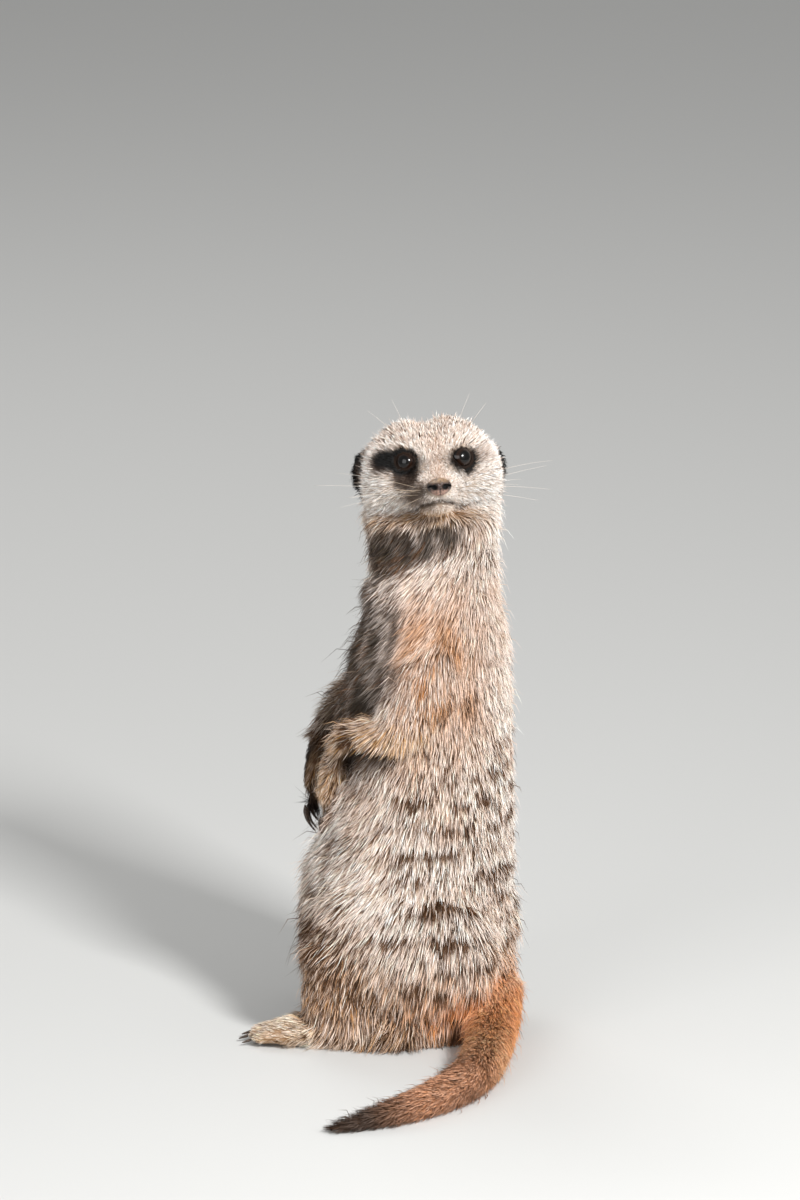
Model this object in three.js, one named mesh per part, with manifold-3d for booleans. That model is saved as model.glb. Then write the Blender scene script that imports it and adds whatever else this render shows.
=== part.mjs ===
// A life-size meerkat that sits up on its haunches and looks back over its left shoulder.
// Millimetres, +Z up. The hips face -Y, the animal's left is +X, and it sits on the floor at z = 0.
// Every form is the outer shape of the coat, so the bare body is a little slimmer.
import * as THREE from "three";
import { mergeVertices } from "three/addons/utils/BufferGeometryUtils.js";
import Module from "manifold-3d";

const wasm = await Module();
wasm.setup();

// ---- Driving dimensions ----
const FIT = 0.3; // gap between two neighbouring pieces
const SLIVER = 0.18; // detail finer than this is dropped after the cuts
const CHEST_TURN = 15; // degrees that the chest is twisted towards the left
const HEAD_TURN = 104; // degrees from the hips' heading to the head's
const HEAD_LIFT = 14.5; // degrees that the nose points above level
const HEAD_TILT = -3.5; // degrees that the head leans to its own right
const HEAD_CENTRE = [4, 7.4, 260]; // the middle of the skull, between the ears
const EYE_RADIUS = 5.6;
const EYE_CENTRE = [11.3, -24.6, 3.3]; // of the left eye, in the head's frame
const GAZE = [0.42, -0.9, 0.08]; // the way the left eye looks, in the head's frame
const RIGHT_FOOT_BACK = 15; // how much further back the right foot stands than the left
const NECK_BASE = 10.5 / 14; // where along the torso the neck is parted from the trunk
const TAIL_CUTS = [0.36, 0.58, 0.79]; // where along the tail it is parted
const DIGITS = [-1.5, -0.5, 0.5, 1.5]; // places of the four digits across a hand or foot
const SIDES = [
  { name: "left", x: 1 },
  { name: "right", x: -1 },
];

// ---- Colours of the coat and of the bare parts ----
function finish(color, roughness) {
  return new THREE.MeshStandardMaterial({ color, roughness, metalness: 0 });
}
const GRIZZLED = finish(0xb09a86, 0.9);
const FACE = finish(0xd9cabb, 0.9);
const LIMB = finish(0xa98f70, 0.9);
const RUSTY = finish(0xa4673c, 0.9);
const DARK = finish(0x4a3c34, 0.9);
const BLACK = finish(0x1d1917, 0.85);
const NOSE = finish(0x3a2a25, 0.5);
const EYE = finish(0x160d08, 0.08);
const CLAW = finish(0x2a2321, 0.35);

// ---- Making forms ----
const vec = (a) => new THREE.Vector3(...a);
const radians = THREE.MathUtils.degToRad;
const rounded = (x, power) => Math.sign(x) * Math.abs(x) ** power;
const mirrored = ([x, y, z], side) => [x * side, y, z];

// A smooth curve through one value of each joint.
function through(joints, value) {
  return new THREE.CatmullRomCurve3(joints.map((j) => vec(value(j))), false, "centripetal");
}

// The form of a body part: joints along its middle line, each with its place, the half sizes of its section
// (aside, towards plus and away from it) and a twist in degrees. square is 2 for an ellipse and more for a
// boxier section, start and end are the lengths of the rounded ends, and swell scales the section.
function form(joints, options = {}) {
  const { side = [1, 0, 0], sides = 12, rings = 4, square = 2 } = options;
  const { start = 0, end = 0, swell = () => 1 } = options;
  return {
    line: through(joints, (j) => j.at),
    sizes: through(joints, (j) => j.half),
    twists: through(joints, (j) => [j.twist || 0, 0, 0]),
    side: vec(side),
    ...{ sides, rings, square, start, end, swell },
  };
}

// The directions of a section at t: ahead along the middle line, across to the side, and plus.
function directions(shape, t) {
  const ahead = shape.line.getTangent(t).normalize();
  const across = shape.side.clone().addScaledVector(ahead, -shape.side.dot(ahead)).normalize();
  across.applyAxisAngle(ahead, radians(shape.twists.getPoint(t).x));
  return { ahead, across, plus: new THREE.Vector3().crossVectors(ahead, across) };
}

// The points of one section, moved along the middle line and scaled.
function section(shape, t, along, scale, grow) {
  const { ahead, across, plus } = directions(shape, t);
  const middle = shape.line.getPoint(t).addScaledVector(ahead, along);
  const half = shape.sizes.getPoint(t);
  return Array.from({ length: shape.sides }, (_, k) => {
    const angle = (2 * Math.PI * k) / shape.sides;
    const c = rounded(Math.cos(angle), 2 / shape.square);
    const s = rounded(Math.sin(angle), 2 / shape.square);
    const factor = scale * shape.swell(t, angle);
    const place = middle.clone().addScaledVector(across, c * (half.x + grow) * factor);
    return place.addScaledVector(plus, s * ((s > 0 ? half.y : half.z) + grow) * factor);
  });
}

// The closed solid of a form, or of its stretch between from and to, where it is cut flat. An end of the
// whole form is rounded by rings at the cap angles. grow makes the solid fatter all round.
const CAP_ANGLES = { few: [48], many: [62, 32], manySides: 12 };
function sweep(shape, { from = 0, to = 1, grow = 0 } = {}) {
  const capAngles = shape.sides < CAP_ANGLES.manySides ? CAP_ANGLES.few : CAP_ANGLES.many;
  const startLength = from === 0 ? shape.start : 0;
  const endLength = to === 1 ? shape.end : 0;
  const pole = (t, along) => [shape.line.getPoint(t).addScaledVector(directions(shape, t).ahead, along)];
  const cap = (t, length, sign) => {
    if (!length) return grow ? [section(shape, t, sign * grow, 1, grow)] : [];
    const at = capAngles.map(radians);
    return at.map((a) => section(shape, t, sign * (length + grow) * Math.sin(a), Math.cos(a), grow));
  };
  const rings = Math.max(2, Math.round(shape.rings * (to - from)));
  const ring = (i) => section(shape, from + ((to - from) * i) / rings, 0, 1, grow);
  const places = [
    pole(from, -(startLength + grow)),
    ...cap(from, startLength, -1),
    ...Array.from({ length: rings + 1 }, (_, i) => ring(i)),
    ...cap(to, endLength, 1).reverse(),
    pole(to, endLength + grow),
  ].flat();
  return closed(places, shape.sides);
}

// Rings of points between two poles, joined to a solid.
function closed(places, sides) {
  const triVerts = [];
  const last = places.length - 1;
  const ringCount = (places.length - 2) / sides;
  for (let k = 0; k < sides; k++) {
    const next = (k + 1) % sides;
    triVerts.push(0, 1 + next, 1 + k);
    triVerts.push(last, last - sides + k, last - sides + next);
    for (let i = 0; i < ringCount - 1; i++) {
      const [a, b] = [1 + i * sides + k, 1 + i * sides + next];
      triVerts.push(a, b, b + sides, a, b + sides, a + sides);
    }
  }
  return solid(places.flatMap((p) => p.toArray()), triVerts);
}

function solid(numbers, indices) {
  const [vertProperties, triVerts] = [new Float32Array(numbers), new Uint32Array(indices)];
  return new wasm.Manifold(new wasm.Mesh({ numProp: 3, vertProperties, triVerts }));
}

// A three.js geometry as a solid, after its seams are merged.
function solidOf(geometry) {
  geometry.deleteAttribute("normal");
  geometry.deleteAttribute("uv");
  const merged = mergeVertices(geometry, 1e-4);
  return solid(merged.attributes.position.array, merged.index.array);
}

// An ellipsoid with the given number of faces round it, turned by angles in degrees.
function ball(centre, radii, faces, turn = [0, 0, 0]) {
  const geometry = new THREE.SphereGeometry(1, faces, Math.round(faces * 0.7));
  const spin = new THREE.Quaternion().setFromEuler(new THREE.Euler(...turn.map(radians)));
  return solidOf(geometry.applyMatrix4(new THREE.Matrix4().compose(vec(centre), spin, vec(radii))));
}

// Joints made for the left side, put on a side of the body and drawn back.
function placed(joints, x, back = 0) {
  return joints.map(({ at, half }) => ({ at: [at[0] * x, at[1] + back, at[2]], half }));
}

// ---- The frames that the pieces are placed in ----
const animal = new THREE.Group();
const body = new THREE.Group();
const head = new THREE.Group();
head.position.set(...HEAD_CENTRE);
head.rotation.set(...[-HEAD_LIFT, HEAD_TILT, HEAD_TURN].map(radians), "ZXY");
animal.add(body, head);
animal.updateMatrixWorld(true);

// Pieces in the order of the list: each is cut back by those after it, and all are cut off at the floor.
const pieces = [];
function add(name, frame, material, make) {
  pieces.push({ name, frame, material, make });
}
function addSwept(name, material, shape, stretch = {}) {
  add(name, body, material, (grow) => sweep(shape, { ...stretch, grow }));
}

// ---- Hands and feet: a flat palm or sole, four digits side by side and a claw at the end of each ----
const FINGER = { spacing: 3.9, spread: 1 / 220, radius: 2.8, length: 11, shorter: 2, curl: 0.8, taper: 0.2 };
const HAND_CLAW = { length: 12.5, hook: 4.2, bow: 2, radius: 1.4, taper: 0.66 };
const TOE = { spacing: 5, spread: 0.25, shorter: 2.6, ends: [-50, -59, -66.5], heights: [4.4, 5, 2.9] };
const TOE_HALVES = [
  [3.4, 3.6, 3.4],
  [3.4, 3.6, 3.4],
  [2.9, 3.1, 2.4],
];
const FOOT_CLAW = { spacing: 5.5, spread: 0.8, height: 4.1, drop: 2.2, buried: 1.5, length: 8 };
const FOOT_CLAW_SECTION = { radius: 1.2, taper: 0.62 };

// Each arm has joints of its own, because the chest is twisted and the right arm hangs lower.
const ARMS = {
  left: {
    upper: [
      { at: [21, 13, 190], half: [12, 14, 16] },
      { at: [28, 10, 175], half: [12, 17, 17] },
      { at: [33, 5, 158], half: [10.5, 16, 14] },
      { at: [35, 0, 146], half: [9.5, 13.5, 13] },
    ],
    fore: [
      { at: [36, 0, 147], half: [9.5, 13.5, 12.5] },
      { at: [28, -17, 144], half: [8.6, 11.5, 10.5] },
      { at: [18.5, -28, 136.5], half: [7.4, 8.6, 8.6] },
      { at: [14.5, -32, 128], half: [6.6, 6.4, 6.6] },
    ],
    palm: [
      { at: [14.5, -31.5, 131], half: [7, 6.4, 6.4] },
      { at: [13, -34, 118], half: [7.4, 5.2, 4.8] },
      { at: [12, -36.5, 109.5], half: [7.4, 4.6, 4.4] },
    ],
    reach: [-0.06, -0.2, -1],
  },
  right: {
    upper: [
      { at: [-23, 3, 190], half: [12, 14, 16] },
      { at: [-30, -1, 176], half: [12, 17, 17] },
      { at: [-35, -7, 160], half: [10.5, 16, 14] },
      { at: [-36.5, -12, 148], half: [9.5, 13.5, 13] },
    ],
    fore: [
      { at: [-37, -12, 148], half: [9.5, 13, 12] },
      { at: [-30, -29, 147.5], half: [8.6, 11, 10.5] },
      { at: [-20, -40, 140.5], half: [7.4, 8.6, 8.6] },
      { at: [-15.5, -44, 131], half: [6.6, 6.4, 6.6] },
    ],
    palm: [
      { at: [-16, -43.5, 133], half: [7, 6.4, 6.4] },
      { at: [-13.5, -46.5, 119], half: [7.4, 5.4, 5] },
      { at: [-12.5, -48.5, 108], half: [7.4, 4.6, 4.4] },
    ],
    reach: [0.05, -0.12, -1],
  },
};
const LEG = {
  thigh: [
    { at: [22, 30, 40], half: [21, 26, 27] },
    { at: [27, 14, 45], half: [22, 38, 34] },
    { at: [30, -8, 49], half: [20, 40, 35] },
    { at: [32, -29, 51], half: [15, 28, 26] },
  ],
  shank: [
    { at: [33, -31, 46], half: [13.5, 15, 15] },
    { at: [34, -31, 32], half: [13.5, 16.5, 16] },
    { at: [34, -28, 17], half: [12.5, 16, 17] },
    { at: [34, -25, 6], half: [11, 14.5, 17] },
  ],
  sole: [
    { at: [31, 4, 7.5], half: [8.5, 7, 8] },
    { at: [33, -22, 7.2], half: [9, 7, 8] },
    { at: [35, -44, 6.6], half: [9.6, 6, 7] },
    { at: [36, -55, 5.4], half: [9.6, 4.6, 6] },
  ],
};
const footBack = (x) => (x < 0 ? RIGHT_FOOT_BACK : 0);
const isOuter = (digit) => Math.abs(digit) > 1; // the outer two digits are the shorter ones

// A place on a finger's line, or beyond it on its claw's: out from the knuckles, and then forwards.
function fingerPlace(arm, digit, out, forwards) {
  const reach = out - (isOuter(digit) ? FINGER.shorter : 0);
  const aside = digit * FINGER.spacing * (1 + out * FINGER.spread);
  const along = vec(arm.reach).setLength(reach);
  return vec(arm.palm.at(-1).at).add(along).add(vec([aside, forwards, 0]));
}

function handClaw(arm, digit) {
  const joints = [0, 0.35, 0.7, 1].map((t) => {
    const forwards = HAND_CLAW.hook * t * t - HAND_CLAW.bow * Math.sin(Math.PI * t);
    return {
      at: fingerPlace(arm, digit, FINGER.length - 1 + HAND_CLAW.length * t, forwards).toArray(),
      half: [0.9, 1.15, 1.15].map((k) => HAND_CLAW.radius * k * (1 - HAND_CLAW.taper * t)),
    };
  });
  return form(joints, { sides: 5, rings: 3, end: 0.5 });
}

function footClaw(x, digit) {
  const root = TOE.ends[2] + (isOuter(digit) ? TOE.shorter : 0) + FOOT_CLAW.buried;
  const aside = LEG.sole.at(-1).at[0] + digit * FOOT_CLAW.spacing;
  const joints = [0, 0.5, 1].map((t) => ({
    at: [
      aside + digit * t * FOOT_CLAW.spread,
      root - FOOT_CLAW.length * t,
      FOOT_CLAW.height - FOOT_CLAW.drop * t * t,
    ],
    half: [1, 1.1, 1.1].map((k) => FOOT_CLAW_SECTION.radius * k * (1 - FOOT_CLAW_SECTION.taper * t)),
  }));
  return form(placed(joints, x, footBack(x)), { sides: 5, rings: 2, end: 0.5 });
}

function finger(arm, digit) {
  const joints = [0, 0.5, 1].map((t) => ({
    at: fingerPlace(arm, digit, FINGER.length * t, FINGER.curl * t * t).toArray(),
    half: [1, 1.05, 1.05].map((k) => FINGER.radius * k * (1 - FINGER.taper * t)),
  }));
  return form(joints, { sides: 6, rings: 2, end: 1.8 });
}

function toe(x, digit) {
  const joints = TOE.ends.map((y, n) => ({
    at: [
      LEG.sole.at(-1).at[0] + digit * (TOE.spacing + n * TOE.spread),
      y + (isOuter(digit) ? TOE.shorter : 0),
      TOE.heights[n],
    ],
    half: TOE_HALVES[n],
  }));
  return form(placed(joints, x, footBack(x)), { sides: 6, rings: 2, end: 2.4 });
}

for (const { name, x } of SIDES)
  DIGITS.forEach((digit, n) => {
    addSwept(`claw_hand_${name}_${n + 1}`, CLAW, handClaw(ARMS[name], digit));
    addSwept(`claw_foot_${name}_${n + 1}`, CLAW, footClaw(x, digit));
  });

// A palm or sole joined with its digits.
function addPaw(name, base, digits) {
  add(name, body, LIMB, (grow) =>
    digits.reduce((whole, digit) => whole.add(sweep(digit, { grow })), sweep(base, { grow })));
}
for (const { name, x } of SIDES) {
  const palm = form(ARMS[name].palm, { sides: 8, rings: 2, start: 3, end: 3 });
  const sole = form(placed(LEG.sole, x, footBack(x)), { sides: 10, rings: 3, square: 2.4, start: 6, end: 3 });
  addPaw(`hand_${name}`, palm, DIGITS.map((digit) => finger(ARMS[name], digit)));
  addPaw(`foot_${name}`, sole, DIGITS.map((digit) => toe(x, digit)));
}

// ---- Limbs: the thinner length of each comes first, so that the thicker one shapes their joint ----
for (const { name, x } of SIDES) {
  const thigh = { sides: 13, rings: 5, start: 12, end: 12 };
  const forearm = { side: [0, 0, 1], sides: 10, start: 5, end: 3 };
  addSwept(`shank_${name}`, LIMB, form(placed(LEG.shank, x), { start: 8 }));
  addSwept(`thigh_${name}`, GRIZZLED, form(placed(LEG.thigh, x), thigh));
  addSwept(`forearm_${name}`, LIMB, form(ARMS[name].fore, forearm));
  addSwept(`upper_arm_${name}`, GRIZZLED, form(ARMS[name].upper, { start: 7, end: 6 }));
}

// ---- Tail: out of the rump, down to the floor and round the left side, in four lengths ----
const tail = form(
  [
    { at: [-2, 24, 36], half: [16, 16, 16] },
    { at: [4.6, 34, 23], half: [15.5, 15.5, 15.5] },
    { at: [17, 38.5, 15.2], half: [13.4, 13.4, 13.4] },
    { at: [31, 40.5, 11.6], half: [11.8, 11.8, 11.8] },
    { at: [54, 43, 10.2], half: [10.6, 10.6, 10.6] },
    { at: [92, 42.5, 9], half: [9.4, 9.4, 9.4] },
    { at: [123, 32, 7.5], half: [7.9, 7.8, 7.8] },
    { at: [145, 14.5, 5.4], half: [5.8, 5.6, 5.6] },
    { at: [159, -6, 2.7], half: [2.9, 3, 3] },
  ],
  { side: [0, 0, 1], rings: 18, start: 6, end: 7 },
);
addSwept("tail_root", RUSTY, tail, { to: TAIL_CUTS[0] });
addSwept("tail_upper", RUSTY, tail, { from: TAIL_CUTS[0], to: TAIL_CUTS[1] });
addSwept("tail_lower", RUSTY, tail, { from: TAIL_CUTS[1], to: TAIL_CUTS[2] });
addSwept("tail_tip", DARK, tail, { from: TAIL_CUTS[2] });

// ---- Trunk and neck: one form from the rump to the nape, parted where the neck begins ----
const torso = form(
  [
    { at: [0, -9, 0], half: [35, 30, 34] },
    { at: [0, -3, 14], half: [37, 45, 44] },
    { at: [0, -3, 36], half: [39, 49, 49.5] },
    { at: [0, -2, 59], half: [40, 49, 50.5] },
    { at: [0, 2, 82], half: [41.5, 44.5, 47.5], twist: 2 },
    { at: [0, 6, 101], half: [40, 39.5, 41], twist: 5 },
    { at: [0, 8, 118], half: [37.5, 37, 39.5], twist: 9 },
    { at: [0, 8.5, 140], half: [36, 35.5, 38.5], twist: 12 },
    { at: [0, 8, 162], half: [34.5, 35.5, 37.5], twist: CHEST_TURN },
    { at: [0, 8.5, 180], half: [33, 33.5, 34], twist: CHEST_TURN },
    { at: [1, 9, 194], half: [30.5, 30.5, 30.5], twist: CHEST_TURN },
    { at: [1.5, 9, 208], half: [28, 28.5, 28.5], twist: CHEST_TURN },
    { at: [2, 8.8, 224], half: [27.5, 28.5, 28.5], twist: CHEST_TURN },
    { at: [2.5, 8.2, 236], half: [29.5, 30, 30.5], twist: CHEST_TURN },
    { at: [3, 7.8, 246], half: [28, 31, 31], twist: CHEST_TURN },
  ],
  { sides: 20, rings: 16, square: 2.15 },
);
addSwept("trunk", GRIZZLED, torso, { to: NECK_BASE });
addSwept("neck", GRIZZLED, torso, { from: NECK_BASE });

// ---- Head, in its own frame: the face looks along -Y, the animal's left is +X ----
// An ear is a low, round flap on the side of the head, hollow in front.
const EAR = { at: [28, 4, -0.8], radii: [4.6, 8.4, 11], lean: 8, flare: -38 };
const EAR_CUP = { at: [31.6, -0.2, -0.8], radii: [4, 6.4, 8.4] };
for (const { name, x } of SIDES) {
  const turn = [EAR.lean, 0, EAR.flare * x];
  add(`ear_${name}`, head, BLACK, (grow) => {
    const flap = ball(mirrored(EAR.at, x), EAR.radii.map((r) => r + grow), 12, turn);
    return grow ? flap : flap.subtract(ball(mirrored(EAR_CUP.at, x), EAR_CUP.radii, 8, turn));
  });
}

// The lower jaw closes under the muzzle. Its rim is inside the cheeks, so that the mouth is a fine line.
const jaw = form(
  [
    { at: [0, -8, -12], half: [12.5, 5, 10] },
    { at: [0, -20, -12.5], half: [12, 4, 10.2] },
    { at: [0, -29, -12.6], half: [10, 3.2, 9.2] },
    { at: [0, -36, -12.4], half: [7.4, 2.4, 8] },
    { at: [0, -40.5, -12.6], half: [5, 1.6, 6.4] },
  ],
  { sides: 10, rings: 5, start: 4, end: 2.4 },
);
add("jaw", head, FACE, (grow) => sweep(jaw, { grow }));

// The nose pad caps the end of the muzzle, with two nostrils that open forwards and outwards.
const NOSE_PAD = { at: [0, -46.6, -8.9], radii: [5.3, 4.4, 3.7] };
const NOSTRIL = { at: [2.6, -50.9, -9.2], radii: [1.5, 2.2, 1.2], flare: -25 };
add("nose", head, NOSE, (grow) => {
  const pad = ball(NOSE_PAD.at, NOSE_PAD.radii.map((r) => r + grow), 10);
  return SIDES.reduce((whole, { x }) => {
    return whole.subtract(ball(mirrored(NOSTRIL.at, x), NOSTRIL.radii, 5, [0, 0, NOSTRIL.flare * x]));
  }, pad);
});

// The crown has a shallow furrow between two low humps, the brows stand proud and the cheeks are full.
const bell = (value, middle, width) => Math.exp(-(((value - middle) / width) ** 2));
function fullness(t, angle) {
  const [aside, height] = [Math.abs(Math.cos(angle)), Math.sin(angle)];
  const furrow = height > 0 ? 0.06 * bell(aside, 0, 0.15) * bell(t, 0.42, 0.2) : 0;
  const brow = height > 0 ? 0.05 * bell(aside, 0.75, 0.3) * bell(t, 0.6, 0.07) : 0;
  const cheek = 0.1 * bell(height, -0.55, 0.4) * bell(t, 0.34, 0.2);
  return 1 - furrow + brow + cheek;
}
const skull = form(
  [
    { at: [0, 26, -3], half: [17, 14, 17] },
    { at: [0, 17, -1], half: [25, 19.5, 25] },
    { at: [0, 6, 0], half: [30, 22, 27] },
    { at: [0, -5, 0], half: [31.5, 22.3, 26] },
    { at: [0, -14, -1], half: [29, 21.3, 22.5] },
    { at: [0, -21, -2.4], half: [24, 18, 18.2] },
    { at: [0, -28, -5], half: [17.6, 13.4, 12.8] },
    { at: [0, -35, -8], half: [12, 9.4, 8] },
    { at: [0, -41, -9.6], half: [8.6, 6.6, 5.6] },
    { at: [0, -45.5, -10], half: [6, 4.8, 4.2] },
  ],
  { sides: 24, rings: 12, square: 2.08, start: 6, end: 3, swell: fullness },
);

// The head is hollowed for each eye by a shallow dish that bares the eye.
const DISH = { radius: 8, ahead: 11 };
function dish(x) {
  const middle = vec(EYE_CENTRE).addScaledVector(vec(GAZE).normalize(), DISH.ahead);
  return ball(mirrored(middle, x), Array(3).fill(DISH.radius), 12);
}
add("head", head, FACE, (grow) =>
  SIDES.reduce((whole, { x }) => whole.subtract(dish(x)), sweep(skull, { grow })));
for (const { name, x } of SIDES) {
  const eye = (grow) => ball(mirrored(EYE_CENTRE, x), Array(3).fill(EYE_RADIUS + grow), 12);
  add(`eye_${name}`, head, EYE, eye);
}

// ---- Cutting the pieces to fit, and placing them ----
const underFloor = solidOf(new THREE.BoxGeometry(900, 900, 100).translate(0, 0, -50));
const inWorld = (piece, grow) => piece.make(grow).transform(piece.frame.matrixWorld.toArray());

// The largest body of a solid, without the crumbs that a cut may leave.
function largest(whole) {
  return whole.decompose().reduce((best, one) => (one.volume() > best.volume() ? one : best));
}

function geometryOf(whole, frame) {
  const { numProp, vertProperties, triVerts } = whole.getMesh();
  const geometry = new THREE.BufferGeometry();
  geometry.setAttribute("position", new THREE.BufferAttribute(new Float32Array(vertProperties), numProp));
  geometry.setIndex(new THREE.BufferAttribute(new Uint32Array(triVerts), 1));
  geometry.applyMatrix4(frame.matrixWorld.clone().invert());
  geometry.computeVertexNormals();
  return geometry;
}

pieces.forEach((piece, i) => {
  const later = pieces.slice(i + 1).map((other) => inWorld(other, FIT));
  const cut = [...later, underFloor].reduce((whole, other) => whole.subtract(other), inWorld(piece, 0));
  const mesh = new THREE.Mesh(geometryOf(largest(cut.simplify(SLIVER)), piece.frame), piece.material);
  mesh.name = piece.name;
  mesh.geometry.computeBoundingBox();
  mesh.geometry.boundingBox.getCenter(mesh.position);
  mesh.geometry.translate(...mesh.position.toArray().map((v) => -v));
  piece.frame.add(mesh);
});

// The part's origin is on the floor, in the middle of its box.
const middle = new THREE.Box3().setFromObject(animal).getCenter(new THREE.Vector3()).setZ(0);
for (const frame of [body, head]) frame.position.sub(middle);

export default animal;
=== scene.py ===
# %% [markdown]
# A meerkat sits up on its haunches and looks back over its left shoulder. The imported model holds
# its size and pose as plain solids, out to the tips of the coat. This lesson gives it a skin, eyes,
# a nose, claws, whiskers and a coat of hair, each made as a mesh in the same frame as the solids.

# %% Load the frame
import math

import bpy
import numpy as np
from mathutils import Matrix, Vector
from mathutils.bvhtree import BVHTree
from mathutils.kdtree import KDTree


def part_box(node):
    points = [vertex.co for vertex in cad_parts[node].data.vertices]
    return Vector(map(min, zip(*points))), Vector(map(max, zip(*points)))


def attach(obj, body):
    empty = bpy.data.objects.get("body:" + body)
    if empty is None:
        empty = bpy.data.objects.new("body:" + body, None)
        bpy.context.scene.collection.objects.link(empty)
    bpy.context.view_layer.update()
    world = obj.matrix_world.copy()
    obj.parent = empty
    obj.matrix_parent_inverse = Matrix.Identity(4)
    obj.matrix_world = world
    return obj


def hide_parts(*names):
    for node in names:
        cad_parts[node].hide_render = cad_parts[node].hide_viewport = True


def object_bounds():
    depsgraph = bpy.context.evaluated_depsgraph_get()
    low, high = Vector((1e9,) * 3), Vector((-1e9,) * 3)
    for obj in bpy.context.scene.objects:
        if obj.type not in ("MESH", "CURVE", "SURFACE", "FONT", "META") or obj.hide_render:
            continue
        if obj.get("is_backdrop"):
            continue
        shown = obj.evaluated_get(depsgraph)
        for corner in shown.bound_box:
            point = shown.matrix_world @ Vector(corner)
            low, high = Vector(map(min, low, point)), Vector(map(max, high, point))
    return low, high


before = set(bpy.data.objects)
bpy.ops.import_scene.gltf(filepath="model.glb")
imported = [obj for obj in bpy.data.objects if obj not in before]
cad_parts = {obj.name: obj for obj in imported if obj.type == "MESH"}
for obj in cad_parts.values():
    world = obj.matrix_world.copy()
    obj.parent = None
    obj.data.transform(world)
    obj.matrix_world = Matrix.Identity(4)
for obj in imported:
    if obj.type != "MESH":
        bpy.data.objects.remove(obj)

MM = 0.001
scene = bpy.context.scene
cad_low, cad_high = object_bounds()
print("the solids are", [round(v, 4) for v in cad_high - cad_low], "m")

# %% [markdown]
# The camera comes first, so that every later step can be judged by a render. It stands far off with
# a long lens, which flattens the view as a wildlife lens does. It aims beside the animal, so that the
# animal stands a little to the left of the middle of the view.

# %% Camera
VIEW_AZIMUTH, VIEW_ELEVATION = 100, 15
VIEW_DISTANCE, LENS = 4.5, 300
VIEW_END = 50  # the camera sees nothing further off than this
AIM_FROM_MIDDLE = Vector((-0.1048, -0.0054, 0.0429))
cad_middle = (cad_low + cad_high) / 2


def way_to(azimuth, elevation):
    """The way from the animal to a place at an azimuth and an elevation in degrees."""
    a, e = math.radians(azimuth), math.radians(elevation)
    return Vector((math.sin(a) * math.cos(e), -math.cos(a) * math.cos(e), math.sin(e)))


def add_object(name, data):
    made = bpy.data.objects.new(name, data)
    scene.collection.objects.link(made)
    return made


back = way_to(VIEW_AZIMUTH, VIEW_ELEVATION)
camera = add_object("camera", bpy.data.cameras.new("camera"))
camera.location = cad_middle + AIM_FROM_MIDDLE + back * VIEW_DISTANCE
camera.rotation_mode = "QUATERNION"
camera.rotation_quaternion = (-back).to_track_quat("-Z", "Y")
camera.data.lens = LENS
camera.data.clip_end = VIEW_END
scene.camera = camera
scene.view_settings.view_transform = "Standard"
print("the camera stands", round(camera.location.z, 2), "m above the floor")

# %% [markdown]
# The light is that of a plain studio: a broad soft key lamp from the animal's back, a weaker fill
# and an even sky. Together they light a surface that faces them at about strength 1, so that a
# colour renders as it is written. The floor is a pale plane, large enough to be the whole backdrop.

# %% Light and floor
FLOOR_SIZE, FLOOR_COLOUR = 24, (0.64, 0.64, 0.625, 1)
SKY_COLOUR, SKY_STRENGTH = (1, 1, 1, 1), 0.38
LAMPS = {  # name: azimuth and elevation in degrees, distance, width, brightness on a facing surface
    "key": (134, 36, 1.6, 0.3, 1.25),
    "fill": (66, 20, 1.8, 1.0, 0.31),
    "rim": (300, 45, 1.8, 0.8, 0.2),
}
for name, (azimuth, elevation, distance, width, brightness) in LAMPS.items():
    towards = way_to(azimuth, elevation)
    lamp = add_object(name, bpy.data.lights.new(name, "AREA"))
    lamp.location = cad_middle + towards * distance
    lamp.rotation_euler = towards.to_track_quat("Z", "Y").to_euler()
    lamp.data.size = width
    lamp.data.energy = brightness * (math.pi * distance) ** 2

world = bpy.data.worlds.new("sky")
scene.world = world
world.use_nodes = True
sky = world.node_tree.nodes["Background"]
sky.inputs["Color"].default_value = SKY_COLOUR
sky.inputs["Strength"].default_value = SKY_STRENGTH


def only(*objects):
    """Leaves just these objects selected, with the first one active."""
    bpy.ops.object.select_all(action="DESELECT")
    for o in objects:
        o.select_set(True)
    bpy.context.view_layer.objects.active = objects[0]


def new_material(name, **values):
    """A material, its node tree and its shader, with values set on the shader's sockets. An underscore
    in a value's name stands for a space."""
    made = bpy.data.materials.new(name)
    made.use_nodes = True
    shader = made.node_tree.nodes["Principled BSDF"]
    for socket, value in values.items():
        shader.inputs[socket.replace("_", " ")].default_value = value
    return made, made.node_tree, shader


bpy.ops.object.select_all(action="DESELECT")
bpy.ops.mesh.primitive_plane_add(size=FLOOR_SIZE, location=(0, 0, 0))
floor = bpy.context.object
floor.name = "floor"
floor.data.materials.append(new_material("floor", Base_Color=FLOOR_COLOUR, Roughness=0.9)[0])
floor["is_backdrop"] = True
print(len(LAMPS), "lamps and a sky")

# %% [markdown]
# Much of what follows is placed on the head, which is turned and lifted. So the head gets a frame of
# its own in millimetres: the face looks along -Y, the animal's left is +X and its crown is +Z. The
# line between the eyes gives the first axis, and the nose, which lies below it, gives the others.

# %% Frames of the head and the body
NOSE_BELOW_EYES = math.radians(27.24)
EYE_IN_HEAD = Vector((11.3, -24.6, 3.3))


def centre_of(node):
    low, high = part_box(node)
    return (low + high) / 2


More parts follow.
